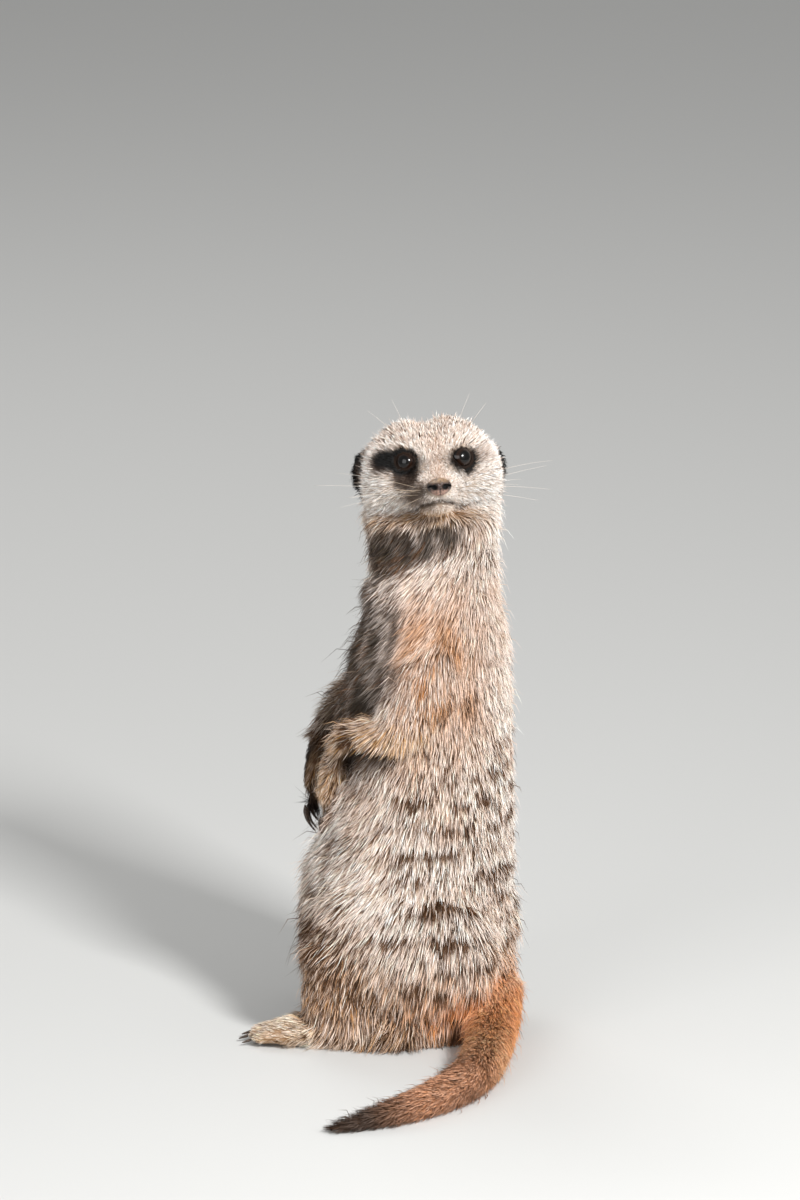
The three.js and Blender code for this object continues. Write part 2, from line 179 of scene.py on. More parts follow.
eye_centres = {side: centre_of(f"eye_{side}") for side in ("left", "right")}
between_eyes = (eye_centres["left"] + eye_centres["right"]) / 2
leftwards = (eye_centres["left"] - eye_centres["right"]).normalized()
to_nose = centre_of("nose") - between_eyes
to_nose -= leftwards * to_nose.dot(leftwards)
ahead = (Matrix.Rotation(-NOSE_BELOW_EYES, 3, leftwards) @ to_nose).normalized()
head_axes = np.array([leftwards, -ahead, leftwards.cross(-ahead)])
head_origin = np.array(between_eyes) / MM - np.array([0, *EYE_IN_HEAD.yz]) @ head_axes
body_origin = np.array([*centre_of("trunk").xy, 0]) / MM


def in_head(points):
    return (points / MM - head_origin) @ head_axes.T


def in_body(points):
    """Millimetres from the floor under the trunk's middle."""
    return points / MM - body_origin


print("the face looks along", [round(v, 3) for v in -head_axes[1]], "and its up is", head_axes[2].round(3))
print("head origin", head_origin.round(2), "body origin", body_origin.round(2))

# %% [markdown]
# Fur and flesh are too fine to shape by hand, one face at a time. Brushes would do it in a window, but
# here arrays of points do: a mesh's points, normals and edges are read whole, changed by a formula and
# written back.

# %% Read, move and smooth the points of a mesh
def read(items, what, width, kind=np.float32):
    """What every item holds under one name, as rows of numbers."""
    numbers = np.empty(len(items) * width, kind)
    items.foreach_get(what, numbers)
    return numbers.reshape(-1, width)


def points_of(mesh):
    return read(mesh.vertices, "co", 3).astype(float)


def normals_of(mesh):
    return read(mesh.vertex_normals, "vector", 3).astype(float)


def edges_of(mesh):
    return read(mesh.edges, "vertices", 2, np.int32)


def move_points(mesh, points):
    mesh.vertices.foreach_set("co", points.astype(np.float32).ravel())
    mesh.update()


def blurred(values, edges, rounds, share=1.0):
    """Each value drawn towards the mean of its neighbours, by its share, so many times."""
    flat = values.reshape(len(values), -1).astype(float)
    count = np.maximum(np.bincount(edges.ravel(), minlength=len(flat)), 1)[:, None]
    share = np.broadcast_to(share, len(flat))[:, None]
    for _ in range(rounds):
        total = np.stack([
            np.bincount(edges[:, 0], column[edges[:, 1]], len(flat))
            + np.bincount(edges[:, 1], column[edges[:, 0]], len(flat))
            for column in flat.T
        ], axis=1)
        flat = flat + share * (total / count - flat)
    return flat.reshape(values.shape)


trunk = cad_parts["trunk"].data
print("the trunk's solid has", len(points_of(trunk)), "points and", len(edges_of(trunk)), "edges")

# %% [markdown]
# The formulas are made of soft steps and bells, which fade out as a brush does, and of noise, which
# breaks up what would look ruled. Texture nodes can't be read from a script, so the noise is made
# here: each corner of a grid gets a random value, and a point blends those of the corners round it.

# %% Soft steps, bells and noise
NEARLY_NOTHING = 1e-12
SEED_STEP = 7.31  # how many cells lie between one seed's noise and the next one's


def step(low, high, values):
    """0 below low, 1 above high and a smooth rise between them. With low above high it falls."""
    t = np.clip((values - low) / (high - low), 0, 1)
    return t * t * (3 - 2 * t)


def bell(values, middle, width):
    return np.exp(-(((values - middle) / width) ** 2))


def reach_of(vectors):
    return np.linalg.norm(vectors, axis=-1)


def unit(vectors):
    return vectors / np.maximum(reach_of(vectors)[..., None], NEARLY_NOTHING)


def laid_flat(vectors, normals):
    """Each vector without its part along the normal."""
    return vectors - normals * np.sum(vectors * normals, axis=1)[:, None]


def cloud(points, size, seed):
    """Smooth noise from 0 to 1 in blobs about size across, which may differ along each axis. Large
    odd numbers scatter the values at the corners of its cells."""
    cell = points / size + seed * SEED_STEP
    low = np.floor(cell).astype(np.int64)
    part = cell - low
    part = part * part * (3 - 2 * part)
    total = np.zeros(len(points))
    for corner in np.ndindex(2, 2, 2):
        x, y, z = (low + corner).T
        mixed = (x * 73856093) ^ (y * 19349663) ^ (z * 83492791) ^ (seed * 2654435)
        mixed = (mixed ^ (mixed >> 13)) * 1274126177
        value = ((mixed >> 8) & 0xFFFF) / 0xFFFF
        total += value * np.prod(np.where(corner, part, 1 - part), axis=1)
    return total


example = cloud(points_of(trunk), 10 * MM, 1)
print("noise over the trunk's solid:", example.min().round(2), "to", example.max().round(2))

# %% [markdown]
# Under the coat is one skin without a seam. It could be modelled from a cage of faces, but the
# solids already give the form, so copies of them are merged, grown until they touch, joined, and
# wrapped by the Remesh modifier in one closed surface. The eyes are wrapped too, so that the lids
# can be drawn out of the surface over them later.

# %% One skin over all the flesh
TOUCH = 0.25 * MM  # how far each copy grows, to close the gap to its neighbour
MERGE = 1e-6  # points nearer than this are one
VOXEL = 1.48 * MM
BARE = ("claw_", "nose")
REGIONS = ["head", "jaw", "ear", "neck", "trunk", "thigh", "shank", "foot", "upper_arm", "forearm",
           "hand", "tail", "eye"]
flesh = [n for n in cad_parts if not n.startswith(BARE)]


def copy_of(node, name):
    made = add_object(name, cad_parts[node].data.copy())
    made.data.materials.clear()
    return made


def edit_all(obj, *steps):
    """Runs each operator, with its settings, on the whole of a mesh in edit mode."""
    only(obj)
    bpy.ops.object.mode_set(mode="EDIT")
    bpy.ops.mesh.select_all(action="SELECT")
    for operator, settings in steps:
        operator(**settings)
    bpy.ops.object.mode_set(mode="OBJECT")


merge_points = (bpy.ops.mesh.remove_doubles, {"threshold": MERGE})
copies = [copy_of(n, "copy_" + n) for n in flesh]
only(*copies)
bpy.ops.object.join()
skin = bpy.context.object
edit_all(skin, merge_points, (bpy.ops.transform.shrink_fatten, {"value": TOUCH}))
wrap = skin.modifiers.new("wrap", "REMESH")
wrap.mode = "VOXEL"
wrap.voxel_size = VOXEL
bpy.ops.object.modifier_apply(modifier="wrap")
edit_all(skin, (bpy.ops.mesh.separate, {"type": "LOOSE"}))
shells = sorted(bpy.context.selected_objects, key=lambda o: len(o.data.vertices))
skin = shells.pop()
for shell in shells:
    bpy.data.objects.remove(shell)
skin.name = skin.data.name = "skin"
print("the skin has", len(skin.data.polygons), "faces;", len(shells), "inner shells removed")

# %% [markdown]
# Each point of the skin learns which part of the body it is on from the nearest solid. The parts'
# borders are then blurred, so that the coat changes gradually from one part to the next.

# %% Which part of the body each point is on
def region_of(node):
    return next(k for k, r in enumerate(REGIONS) if node.startswith(r))


def nearest_regions(points):
    corners, faces, region = [], [], []
    for node in flesh:
        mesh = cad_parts[node].data
        start = len(corners)
        corners += [v.co for v in mesh.vertices]
        faces += [[start + i for i in p.vertices] for p in mesh.polygons]
        region += [region_of(node)] * len(mesh.polygons)
    tree = BVHTree.FromPolygons(corners, faces)
    return np.array([region[tree.find_nearest(p)[2]] for p in points])


def region_weights(mesh, rounds):
    found = nearest_regions(points_of(mesh))
    found[found == REGIONS.index("eye")] = REGIONS.index("head")
    weights = (found[:, None] == np.arange(len(REGIONS))).astype(float)
    return blurred(weights, edges_of(mesh), rounds)


def share_of(weights, *names):
    """How far each point is on the named parts of the body, from 0 to 1."""
    return weights[:, [REGIONS.index(n) for n in names]].sum(1)


def by_region(weights, values, default=0.0):
    """A value at each point, mixed from the values of the parts that it is on."""
    return weights @ np.array([values.get(r, default) for r in REGIONS])


BORDER_ROUNDS = 10  # how often the parts' borders are blurred
weights = region_weights(skin.data, BORDER_ROUNDS)
print({r: int(w) for r, w in zip(REGIONS, weights.sum(0))})

# %% [markdown]
# The solids reach out to the hair's tips, so the skin is drawn in by the depth of the coat: most on
# the belly and the flanks, and hardly at all on the soles, which bear on the floor.

# %% Draw the skin in by the coat's depth
SOFTNESS = {"head": 0.55, "jaw": 0.4, "ear": 0.25, "foot": 0.3, "hand": 0.25, "tail": 0.8}
DEPTH = {"head": 1.5, "jaw": 1.0, "ear": 0.5, "neck": 2.8, "trunk": 3.0, "thigh": 3.0, "shank": 2.2,
         "foot": 0.8, "upper_arm": 2.4, "forearm": 1.7, "hand": 0.7, "tail": 2.2}
SMOOTHING_ROUNDS, SMOOTHING = 14, 0.9
edges = edges_of(skin.data)
softness = by_region(weights, SOFTNESS, default=1.0) * SMOOTHING
points = blurred(points_of(skin.data), edges, SMOOTHING_ROUNDS, softness)
move_points(skin.data, points)


def coat_depth(points, normals, weights):
    body, head = in_body(points), in_head(points)
    depth = by_region(weights, DEPTH)
    muzzle = step(-22, -38, head[:, 1]) * share_of(weights, "head")
    depth *= 1 - 0.6 * muzzle
    depth *= 1 - 0.45 * share_of(weights, "tail") * step(60, 150, body[:, 0])
    depth += 2.2 * step(-20, -40, body[:, 1]) * step(158, 135, body[:, 2]) * step(14, 40, body[:, 2])
    depth += 2.4 * step(28, 47, body[:, 1]) * bell(body[:, 2], 54, 14)
    sole = step(-0.4, -0.9, normals[:, 2]) * step(6, 2, body[:, 2])
    return depth * (1 - 0.93 * sole)


normals = normals_of(skin.data)
depth = blurred(coat_depth(points, normals, weights), edges, 4)
points = blurred(points - normals * depth[:, None] * MM, edges, 2, 0.5)
move_points(skin.data, points)
print("coat depth", depth.min().round(2), "to", depth.max().round(2), "mm")

# %% [markdown]
# The face, the ears, the hands and the feet need finer faces than the body, so the skin is
# subdivided there: once over these parts, and twice more round the eyes, where the lids are less
# than a millimetre thick.

# %% Finer faces where the form is fine
GAZE = unit(np.array([0.42, -0.9, 0.08]))
EYE_RADIUS = 5.6
LID_FACES = 2.4  # how far round the eyeball the faces are finest
HEAD_REACH = 62  # how far the head's points lie from its origin at most
SIDES = {"left": np.array([1, 1, 1]), "right": np.array([-1, 1, 1])}


def subdivide_where(inside):
    """Cuts the skin's faces in four where all their points are inside."""
    mesh = skin.data
    faces = [all(inside[i] for i in p.vertices) for p in mesh.polygons]
    mesh.vertices.foreach_set("select", np.zeros(len(mesh.vertices), bool))
    mesh.edges.foreach_set("select", np.zeros(len(mesh.edges), bool))
    mesh.polygons.foreach_set("select", faces)
    only(skin)
    bpy.ops.object.mode_set(mode="EDIT")
    bpy.context.tool_settings.mesh_select_mode = (False, False, True)
    bpy.ops.mesh.subdivide()
    bpy.ops.object.mode_set(mode="OBJECT")


def from_eye(head_points, side):
    """Each point as seen from the middle of one eye."""
    return head_points - np.array(EYE_IN_HEAD) * SIDES[side]


head_points, body_points = in_head(points_of(skin.data)), in_body(points_of(skin.data))
front_of_face = (head_points[:, 1] < -17) & (head_points[:, 2] > -26) & (np.abs(head_points[:, 0]) < 30)
near_head = reach_of(head_points) < HEAD_REACH
fine_parts = share_of(weights, "ear", "hand") > 0.3
toes = (share_of(weights, "foot") > 0.5) & (body_points[:, 1] < -30)
subdivide_where((front_of_face & near_head) | fine_parts | toes)
for _ in range(2):
    head_points = in_head(points_of(skin.data))
    near = [reach_of(from_eye(head_points, side)) < EYE_RADIUS + LID_FACES for side in SIDES]
    subdivide_where((near[0] | near[1]) & (head_points[:, 1] < -20))
weights = region_weights(skin.data, BORDER_ROUNDS)
print("the skin now has", sum(len(p.vertices) - 2 for p in skin.data.polygons), "triangles")

# %% [markdown]
# Where two parts meet, the coat parts in a crease: under the arm, behind the jaw, round the thigh.
# Each crease lies where the two parts' shares are equal, and the skin is pressed in there. The
# fingers and toes are parted by grooves that run between the claws.

# %% Creases between the parts
part = {r: weights[:, k] for k, r in enumerate(REGIONS)}
DIGITS = {"hand": (9, 0.9), "foot": (12, 1.3)}  # length and depth of the grooves between them, in mm
DIGIT_ZONE = 26  # how far from the middle of the claws a groove may reach
SOLE_HEIGHT = 0.2 * MM  # the skin stays this far above the floor
CREASES = [  # part, part, depth in mm
    ("forearm", "trunk", 4.0), ("hand", "trunk", 0.8), ("upper_arm", "trunk", 1.2), ("thigh", "trunk", 0.5),
    ("foot", "thigh", 1.0), ("foot", "shank", 0.6), ("tail", "trunk", 1.2), ("tail", "thigh", 1.2),
]


def crease_depth(head_points, body_points):
    depth = sum(mm * 4 * part[a] * part[b] for a, b, mm in CREASES)
    under_jaw = 4 * (part["jaw"] + part["head"]) * part["neck"] * step(6, -12, head_points[:, 1])
    palm = part["hand"] * (0.9 + 1.5 * step(100, 112, body_points[:, 2]))
    toes = part["foot"] * 0.9 * step(-34, -42, body_points[:, 1]) * step(2, 5, body_points[:, 2])
    return depth + 3.0 * under_jaw - palm - toes


def digit_grooves(points, limb, side):
    """Grooves between the fingers or toes, which run back from the midpoints between the claws."""
    claws = np.array([centre_of(f"claw_{limb}_{side}_{k}") for k in (1, 2, 3, 4)]) / MM
    places = points / MM
    middle = claws.mean(0)
    palm = np.array(centre_of(f"{limb}_{side}")) / MM
    across = unit(claws[3] - claws[0])
    ahead_of_palm = unit(middle - palm)
    u, t = (places - middle) @ across, (places - middle) @ ahead_of_palm
    apart = reach_of(claws[3] - claws[0]) / 3
    grooves = sum(bell(u, (k - 1) * apart, apart * 0.17) for k in range(3))
    near = reach_of(places - middle) < DIGIT_ZONE
    reach = DIGITS[limb][0]
    return grooves * near * step(-reach - 5, -reach + 1, t) * part[limb]


points = points_of(skin.data)
normals = normals_of(skin.data)
press = crease_depth(in_head(points), in_body(points))
for side in SIDES:
    for limb, (_, depth) in DIGITS.items():
        press += digit_grooves(points, limb, side) * depth
points = points - normals * press[:, None] * MM
points[:, 2] = np.maximum(points[:, 2], SOLE_HEIGHT)
move_points(skin.data, points)
print("deepest crease", press.max().round(2), "mm")

# %% [markdown]
# The head is shaped as a sculptor would, by pushing points along simple curves. The crown has a
# shallow valley between two swellings, the ears are cups with a rim, and the face has brows, a
# bridge, lips and a chin.

# %% Shape the head
EAR_IN_HEAD = np.array([30.8, 6.3, -0.1])


def from_head(head_points):
    return (head_points @ head_axes + head_origin) * MM


def mouth_height(y):
    """Where the line of the closed lips lies, from the front of the muzzle back to its corner."""
    return -14.6 - 0.1 * (y + 46) - 0.4 * bell(y, -38, 5)


def crown_push(p):
    """Two swellings over the crown with a valley between them, and slimmer temples."""
    x, y, z = p.T
    top = step(12, 18, z) * step(24, 4, y)
    push = (1.0 * bell(np.abs(x + 1), 11.5, 6) - 2.2 * bell(x, -2, 4.5)) * top
    return push - 1.4 * step(20, 25, x) * bell(z, 11, 7) * step(16, 6, y)


def ear_push(p):
    """A cup in the outer face of each ear, with its rim left standing."""
    x, y, z = p.T
    cup = np.hypot((y - EAR_IN_HEAD[1] + 0.6) / 3.0, (z - EAR_IN_HEAD[2] + 1) / 7.4)
    outer = step(29.0, 30.5, np.abs(x))
    return (0.5 * bell(cup, 1.25, 0.3) - 2.2 * step(1.05, 0.35, cup)) * outer * part["ear"]


def face_push(p):
    """The brows, the hollows beside the bridge, the lips, the mouth and the chin."""
    x, y, z = p.T
    mouth = mouth_height(y)
    push = 1.1 * bell(np.abs(x), 12, 6.5) * bell(z, 12.0, 3.4)
    push -= 0.9 * bell(np.abs(x), 4.8, 2.4) * bell(z, 0, 4.5)
    push -= 1.0 * bell(np.abs(x), 9.5, 3.5) * bell(z, -7, 3.5) * step(-38, -32, y)
    push -= 1.7 * bell(z, mouth, 0.85) * step(-12, -20, y)
    push += 0.6 * bell(z, mouth + 2.6, 1.6) * step(-26, -34, y)
    push += 0.3 * bell(z, mouth - 3.6, 2.2) * step(-22, -34, y) * bell(x, 0, 8)
    push -= 0.7 * bell(x, 0, 0.8) * step(-11.5, -12.5, z) * step(-40, -44, y)
    push += 0.9 * bell(np.abs(x), 20, 6) * bell(z, -7, 6) * step(-30, -22, y)
    return push * step(-12, -22, y)


points = points_of(skin.data)
head_points = in_head(points)
head_normals = normals_of(skin.data) @ head_axes.T
is_head = (reach_of(head_points) < HEAD_REACH) & (part["head"] + part["jaw"] + part["ear"] > 0.25)
push = crown_push(head_points) + ear_push(head_points) + face_push(head_points)
head_points = head_points + head_normals * (push * is_head)[:, None]
print("the head is pushed by", push[is_head].min().round(1), "to", push[is_head].max().round(1), "mm")

# %% [markdown]
# The lids follow the eyeball: inside their opening the skin sinks behind the eye, at their edge it
# rises a little proud of it, and further out it runs back into the face. The animal looks back over
# its shoulder, so its left eye is opened wider.

# %% Draw the lids over the eyes
LID_OPENING = {  # half the opening across and up, in degrees round the eyeball's centre
    "left": (53, 48),
    "right": (42, 34),
}
LID_EDGE, LID_THICKNESS, LID_WIDTH = 0.2, 0.7, 14
BEHIND_EYE = 1.0
LID_REACH = EYE_RADIUS + 7  # points further from the eye's centre than this don't move


def lid_place(head_points, side):
    """How far each point is outside the opening of the lids, in degrees, and from the eye's centre."""
    gaze = GAZE * SIDES[side]
    outwards = unit(np.cross(np.cross(gaze, np.array([1.0, 0, 0]) * SIDES[side]), gaze))
    upwards = np.cross(gaze, outwards) * SIDES[side][0]
    ray = from_eye(head_points, side)
    distance = reach_of(ray)
    across, up, towards = ray @ outwards, ray @ upwards, ray @ gaze
    angle = np.degrees(np.arccos(np.clip(towards / distance, -1, 1)))
    slant = np.arctan2(up - 0.16 * across, across)
    wide, high = LID_OPENING[side]
    corner = 1 + 0.12 * np.abs(np.cos(slant)) ** 6
    opening = corner / np.sqrt((np.cos(slant) / wide) ** 2 + (np.sin(slant) / high) ** 2)
    return angle - opening, distance


def shape_lids(head_points, side):
    outside, distance = lid_place(head_points, side)
    ray = from_eye(head_points, side)
    edge = EYE_RADIUS + LID_EDGE + (LID_THICKNESS - LID_EDGE) * np.sqrt(np.clip(outside / LID_WIDTH, 0, 1))
    lid = np.where(outside < 0, EYE_RADIUS - BEHIND_EYE, np.maximum(edge, np.minimum(distance, edge + 0.4)))
    share = step(LID_WIDTH * 2.6, LID_WIDTH, outside) * step(LID_REACH, LID_REACH - 3, distance)
    goal = np.where(outside < 0, lid, np.maximum(lid, distance * (1 - share) + lid * share))
    wanted = np.where(distance < LID_REACH, distance + (goal - distance) * share, distance)
    return head_points + ray * (wanted / distance - 1)[:, None]


for side in SIDES:
    head_points = shape_lids(head_points, side)
points[is_head] = from_head(head_points[is_head])
move_points(skin.data, points)
only(skin)
bpy.ops.object.shade_smooth()
print("points moved on the head:", int(is_head.sum()))

# %% [markdown]
# Every tuft later needs a place on a flat map of the skin, so that its colours can be kept in an
# image. The skin is unwrapped by its own shape for that: Smart UV Project cuts it into islands of
# faces that point the same way.

# %% Unwrap the skin
MAP_NAME = "OFBake"
ISLAND_ANGLE, ISLAND_GAP = math.radians(66), 0.001
skin.data.uv_layers.new(name=MAP_NAME)
edit_all(
    skin,
    (bpy.ops.mesh.quads_convert_to_tris, {}),
    (bpy.ops.uv.smart_project, {"angle_limit": ISLAND_ANGLE, "island_margin": ISLAND_GAP}),
)
print("the unwrapped skin has", len(skin.data.polygons), "triangles")

# %% [markdown]
# Hair lies along the body the way a hand would stroke it: away from the nose over the head, down the
# neck and the trunk, along the limbs to the fingers and toes, and down the tail. On the sides it
# also sweeps forwards to the belly. Each part has its direction, and they are blended by region.

# %% The lie of the coat
points = points_of(skin.data)
normals = normals_of(skin.data)
edges = edges_of(skin.data)
weights = region_weights(skin.data, BORDER_ROUNDS)
head_points, body_points = in_head(points), in_body(points)
part = {r: weights[:, k] for k, r in enumerate(REGIONS)}
heel_part = part["foot"] * step(-34, -14, body_points[:, 1])
head_part = part["head"] + part["jaw"] + part["ear"]
DOWN = np.array([0.0, 0.0, -1.0])
head_x, head_y, head_z = head_points.T


def along(a, b):
    return unit(np.array(centre_of(b) - centre_of(a)))


def forwards_and_down(forwards):
    return unit(np.stack([0 * forwards, -forwards, 0 * forwards - 1], axis=1))


tail_names = ["tail_root", "tail_upper", "tail_lower", "tail_tip"]
stations = [np.array(centre_of(n)) for n in tail_names]
tail_low, tail_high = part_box("tail_tip")
stations.append(np.array([tail_high.x, tail_low.y, tail_low.z]))


def from_tail_tip(points):
    """How far each point is from the tail's tip, along the tail, in mm."""
    left, best, nearest = 0.0, np.full(len(points), np.inf), np.zeros(len(points))
    for a, b in list(zip(stations, stations[1:]))[::-1]:
        reach = reach_of(b - a)
        t = np.clip((points - b) @ (a - b) / reach**2, 0, 1)
        away = reach_of(points - b - t[:, None] * (a - b))
        nearest = np.where(away < best, left + t * reach, nearest)
        best = np.minimum(best, away)
        left += reach
    return nearest / MM


def tail_lie(points):
    lie = np.zeros_like(points)
    for a, b in zip(stations, stations[1:]):
        nearness = 1 / (reach_of(points - (a + b) / 2) ** 4 + NEARLY_NOTHING)
        lie += nearness[:, None] * unit(b - a)
    return unit(lie)


def lie_of_coat():
    side, forwards, up = body_points.T
    frontness = step(14, -38, forwards)
    lie = np.zeros_like(points)
    from_nose = unit(head_points - np.array([0, -46, -9])) @ head_axes
    behind = step(-10, 25, head_y)
    lie += (from_nose + behind[:, None] * 0.9 * DOWN) * head_part[:, None]
    sweep = 0.12 + 0.95 * frontness * step(150, 105, up) * step(8, 60, up) + 0.55 * bell(up, 192, 16)
    sweep += 0.25 * frontness * step(140, 170, up) + 0.9 * bell(up, 224, 14)
    sweep += 1.1 * step(4, -18, forwards) * step(135, 150, up) * step(222, 200, up)
    lie += forwards_and_down(sweep) * (part["trunk"] + part["neck"])[:, None]
    thigh_sweep = 0.16 + 0.42 * step(25, -20, forwards) * step(20, 60, up)
    lie += forwards_and_down(thigh_sweep) * part["thigh"][:, None]
    lie += unit(np.array([0, -0.15, -1])) * (part["shank"] + part["upper_arm"])[:, None]
    lie += np.array([0, -1.0, -0.1]) * (part["foot"] - heel_part)[:, None]
    lie += unit(np.array([0, -0.5, -1.0])) * heel_part[:, None]
    for name, mirror in SIDES.items():
        on_side = (side * mirror[0] > 0)[:, None]
        lie += on_side * along(f"forearm_{name}", f"hand_{name}") * part["forearm"][:, None]
        lie += on_side * along(f"hand_{name}", f"claw_hand_{name}_2") * part["hand"][:, None]
    hanging = 1.1 * step(72, 125, from_tail_tip(points))[:, None] * DOWN
    lie += (tail_lie(points) + hanging) * part["tail"][:, None]
    for _ in range(3):
        lie = laid_flat(blurred(unit(lie), edges, 4), normals)
    return unit(lie)


lie = lie_of_coat()
for side in SIDES:
    outside, distance = lid_place(head_points, side)
    away = laid_flat(from_eye(head_points, side) @ head_axes, normals)
    lie = unit(lie + unit(away) * (1.4 * step(26, 4, outside) * (distance < 16))[:, None])
print("the lie is set at", len(lie), "points")

# %% [markdown]
# The markings are painted on the skin as one colour for each point and then handed on to the hair
# that grows there. Images would do too, but the parts of the body give the places already, so the
# markings are masks of place, softened and broken up by noise, and are laid over each other.

# %% Tones and how they are laid
def tone(*levels):
    """A colour from its usual 0 to 255 levels, as the linear light that shaders work with."""
    c = np.array(levels) / 255
    return np.where(c <= 0.04045, c / 12.92, ((c + 0.055) / 1.055) ** 2.4)


WHITE, CREAM, FAWN = tone(254, 249, 245), tone(255, 241, 232), tone(232, 198, 174)
RUST, RUFOUS, GOLD = tone(200, 146, 100), tone(252, 168, 110), tone(232, 190, 144)
BROWN, SMOKE = tone(112, 80, 56), tone(128, 114, 102)
SOOT, BLACK, TAN = tone(46, 38, 34), tone(20, 17, 16), tone(222, 190, 168)


def painted(under, *layers):
    """A colour under layers, each of a tone and the mask of where it lies."""
    for shade, mask in layers:
        under = under + (shade - under) * np.clip(mask, 0, 1)[:, None]
    return under


def noise(size, seed):
    """The cloud of noise at each point of the skin, with its size in mm."""
    return cloud(points / MM, size, seed)


def noise_above(low, high, size, seed):
    return step(low, high, noise(size, seed))


colour = np.tile(CREAM, (len(points), 1))
print("the coat starts as cream", CREAM.round(3), "at", len(colour), "points")

# %% [markdown]
# The body is cream and fawn, with rust on the shoulders and a warmer tone low on the haunches, which
# reaches higher at the front as painted shade. The chest is dark, where thin fur lies over dark skin,
# with painted shade added, and painted shade darkens the left armpit.

# %% Paint the body
def shoulder_rust():
    """The rusty brown that lies down each shoulder and the side below it."""
    x, y, z = body_points.T
    wide = np.exp(-(((y - 20) / 19) ** 4) - (np.abs(z - 175) / 41) ** 3)
    return wide * (0.62 + 0.38 * noise_above(0.3, 0.6, (4.5, 4.5, 12), 5))


def body_colours(colour):
    x, y, z = body_points.T
    patchy = noise(13, 3)
    torso = part["trunk"] + part["thigh"] + part["upper_arm"] + part["neck"]
    # A warmer tone low on the trunk and legs, which reaches higher at the front as painted shade.
    lower = step(70 + 26 * step(0, -24, y), 20, z) * (part["trunk"] + part["thigh"] + part["shank"])
    ragged = 14 * (noise(9, 71) - 0.5)
    # The dark chest: thin fur over dark skin, with painted shade added.
    chest = step(8, -7, y + ragged) * step(116, 142, z + ragged) * step(220, 205, z + ragged)
    streaks = noise_above(0.52, 0.66, (2.4, 2.4, 10), 83)
    chest_part = part["trunk"] + part["neck"] + part["upper_arm"] * step(-4, -14, y) * step(-14, -4, x)
    # Painted shade in the crease of the left armpit.
    armpit_shade = bell(y + 0.35 * ragged, 0.5, 4.2) * step(156, 174, z) * step(212, 196, z) * step(4, 14, x)
    return painted(
        colour,
        (FAWN, torso * (0.1 + 0.45 * step(0.5, 0.85, patchy))),
        (RUST, torso * shoulder_rust()),
        (tone(204, 154, 104), lower * (0.6 + 0.4 * patchy)),
        (tone(66, 58, 50), chest * chest_part * (1 - 0.25 * streaks)),
        (SOOT, 0.72 * armpit_shade * torso * (1 - 0.6 * streaks)),
    )


colour = body_colours(colour)
print("mean colour with the body painted", colour.mean(0).round(3))

# %% [markdown]
# Forearms and hands are golden, with brown ticks. The feet are pale, and the tail is rufous with a
# dark tip. Soot in the hollows, between the digits and between the arms, is painted shade, and so is
# the dark of the right forearm and hand and of a gap above the tail's root. A lighter band on the
# upper tail is painted light.

# %% Paint the limbs and the tail
def elbow_hollow():
    """The deep crease between the forearm and the belly below it."""
    return 4 * part["forearm"] * part["trunk"] * step(152, 143, body_points[:, 2])


def rump_patch():
    """The rusty fur over the root of the tail."""
    x, y, z = body_points.T
    return np.exp(-(((y - 36) / 24) ** 2) - ((z - 22) / 13) ** 2 - ((x - 20) / 28) ** 2)


def arm_colours(colour):
    x, y, z = body_points.T
    elbow = np.clip(part["forearm"] + part["upper_arm"] * step(160, 148, z), 0, 1)
    shade_between_arms = part["forearm"] * step(0.2, 0.7, -normals[:, 0] * np.sign(x)) * step(140, 128, z)
    far = step(-6, -18, x)
    return painted(
        colour,
        (tone(214, 174, 132), elbow),
        (BROWN, part["forearm"] * 0.5 * noise_above(0.55, 0.7, (5, 2.0, 2.0), 9)),
        # Painted shade: soot on the inner sides of the forearms, between the arms.
        (SOOT, shade_between_arms * 0.9),
        # Painted shade: the right forearm greyer, and sooty low down.
        (tone(150, 138, 124), part["forearm"] * far * step(160, 140, z) * 0.85),
        (SOOT, part["forearm"] * far * step(136, 124, z) * 0.8),
        (GOLD, part["hand"]),
        (tone(92, 76, 64), part["hand"] * step(114, 102, z) * 0.85),
        # Painted shade: the right hand dark.
        (tone(54, 44, 38), part["hand"] * step(-4, -10, x)),
        # Painted shade in the crease between the forearm and the belly.
        (SOOT, np.clip(elbow_hollow() * 2.4, 0, 0.95)),
    )


def foot_colours(colour):
    """The pale feet with their golden heels, and painted shade between the digits of hands and feet."""
    shade_between_digits = sum(digit_grooves(points, limb, side) for limb in DIGITS for side in SIDES)
    return painted(
        colour,
        (tone(252, 232, 208), part["foot"]),
        (GOLD, part["foot"] * noise_above(0.4, 0.75, 3, 19) * 0.6),
        (tone(196, 152, 108), heel_part),
        # Painted shade in the grooves between the digits.
        (SOOT, np.clip(shade_between_digits * 1.4, 0, 0.85)),
    )


def tail_colours(colour):
    """The rufous tail with its dark tip and a band of painted light on its upper part, the patch over its
    root, and a painted shadow in the gap above it.
    """
    x, y, z = body_points.T
    to_tip = from_tail_tip(points)
    shadow_above_tail = np.exp(-(((y - 27) / 7) ** 2) - ((z - 8) / 8) ** 2) * step(4, 12, x)
    return painted(
        colour,
        (RUFOUS, part["tail"]),
        # Painted light: a lighter band along the upper tail.
        (tone(255, 188, 138), part["tail"] * bell(to_tip, 104, 26) * 0.85),
        (tone(218, 160, 124), part["tail"] * step(120, 70, to_tip)),
        (tone(92, 78, 70), part["tail"] * step(50, 22, to_tip)),
        (RUFOUS, rump_patch() * (part["trunk"] + part["thigh"]) * 1.6),
        # Painted shadow in the gap above the root of the tail.
        (SOOT, 0.9 * shadow_above_tail * (part["trunk"] + part["thigh"])),
    )


colour = tail_colours(foot_colours(arm_colours(colour)))
print("mean colour with the limbs painted", colour.mean(0).round(3))

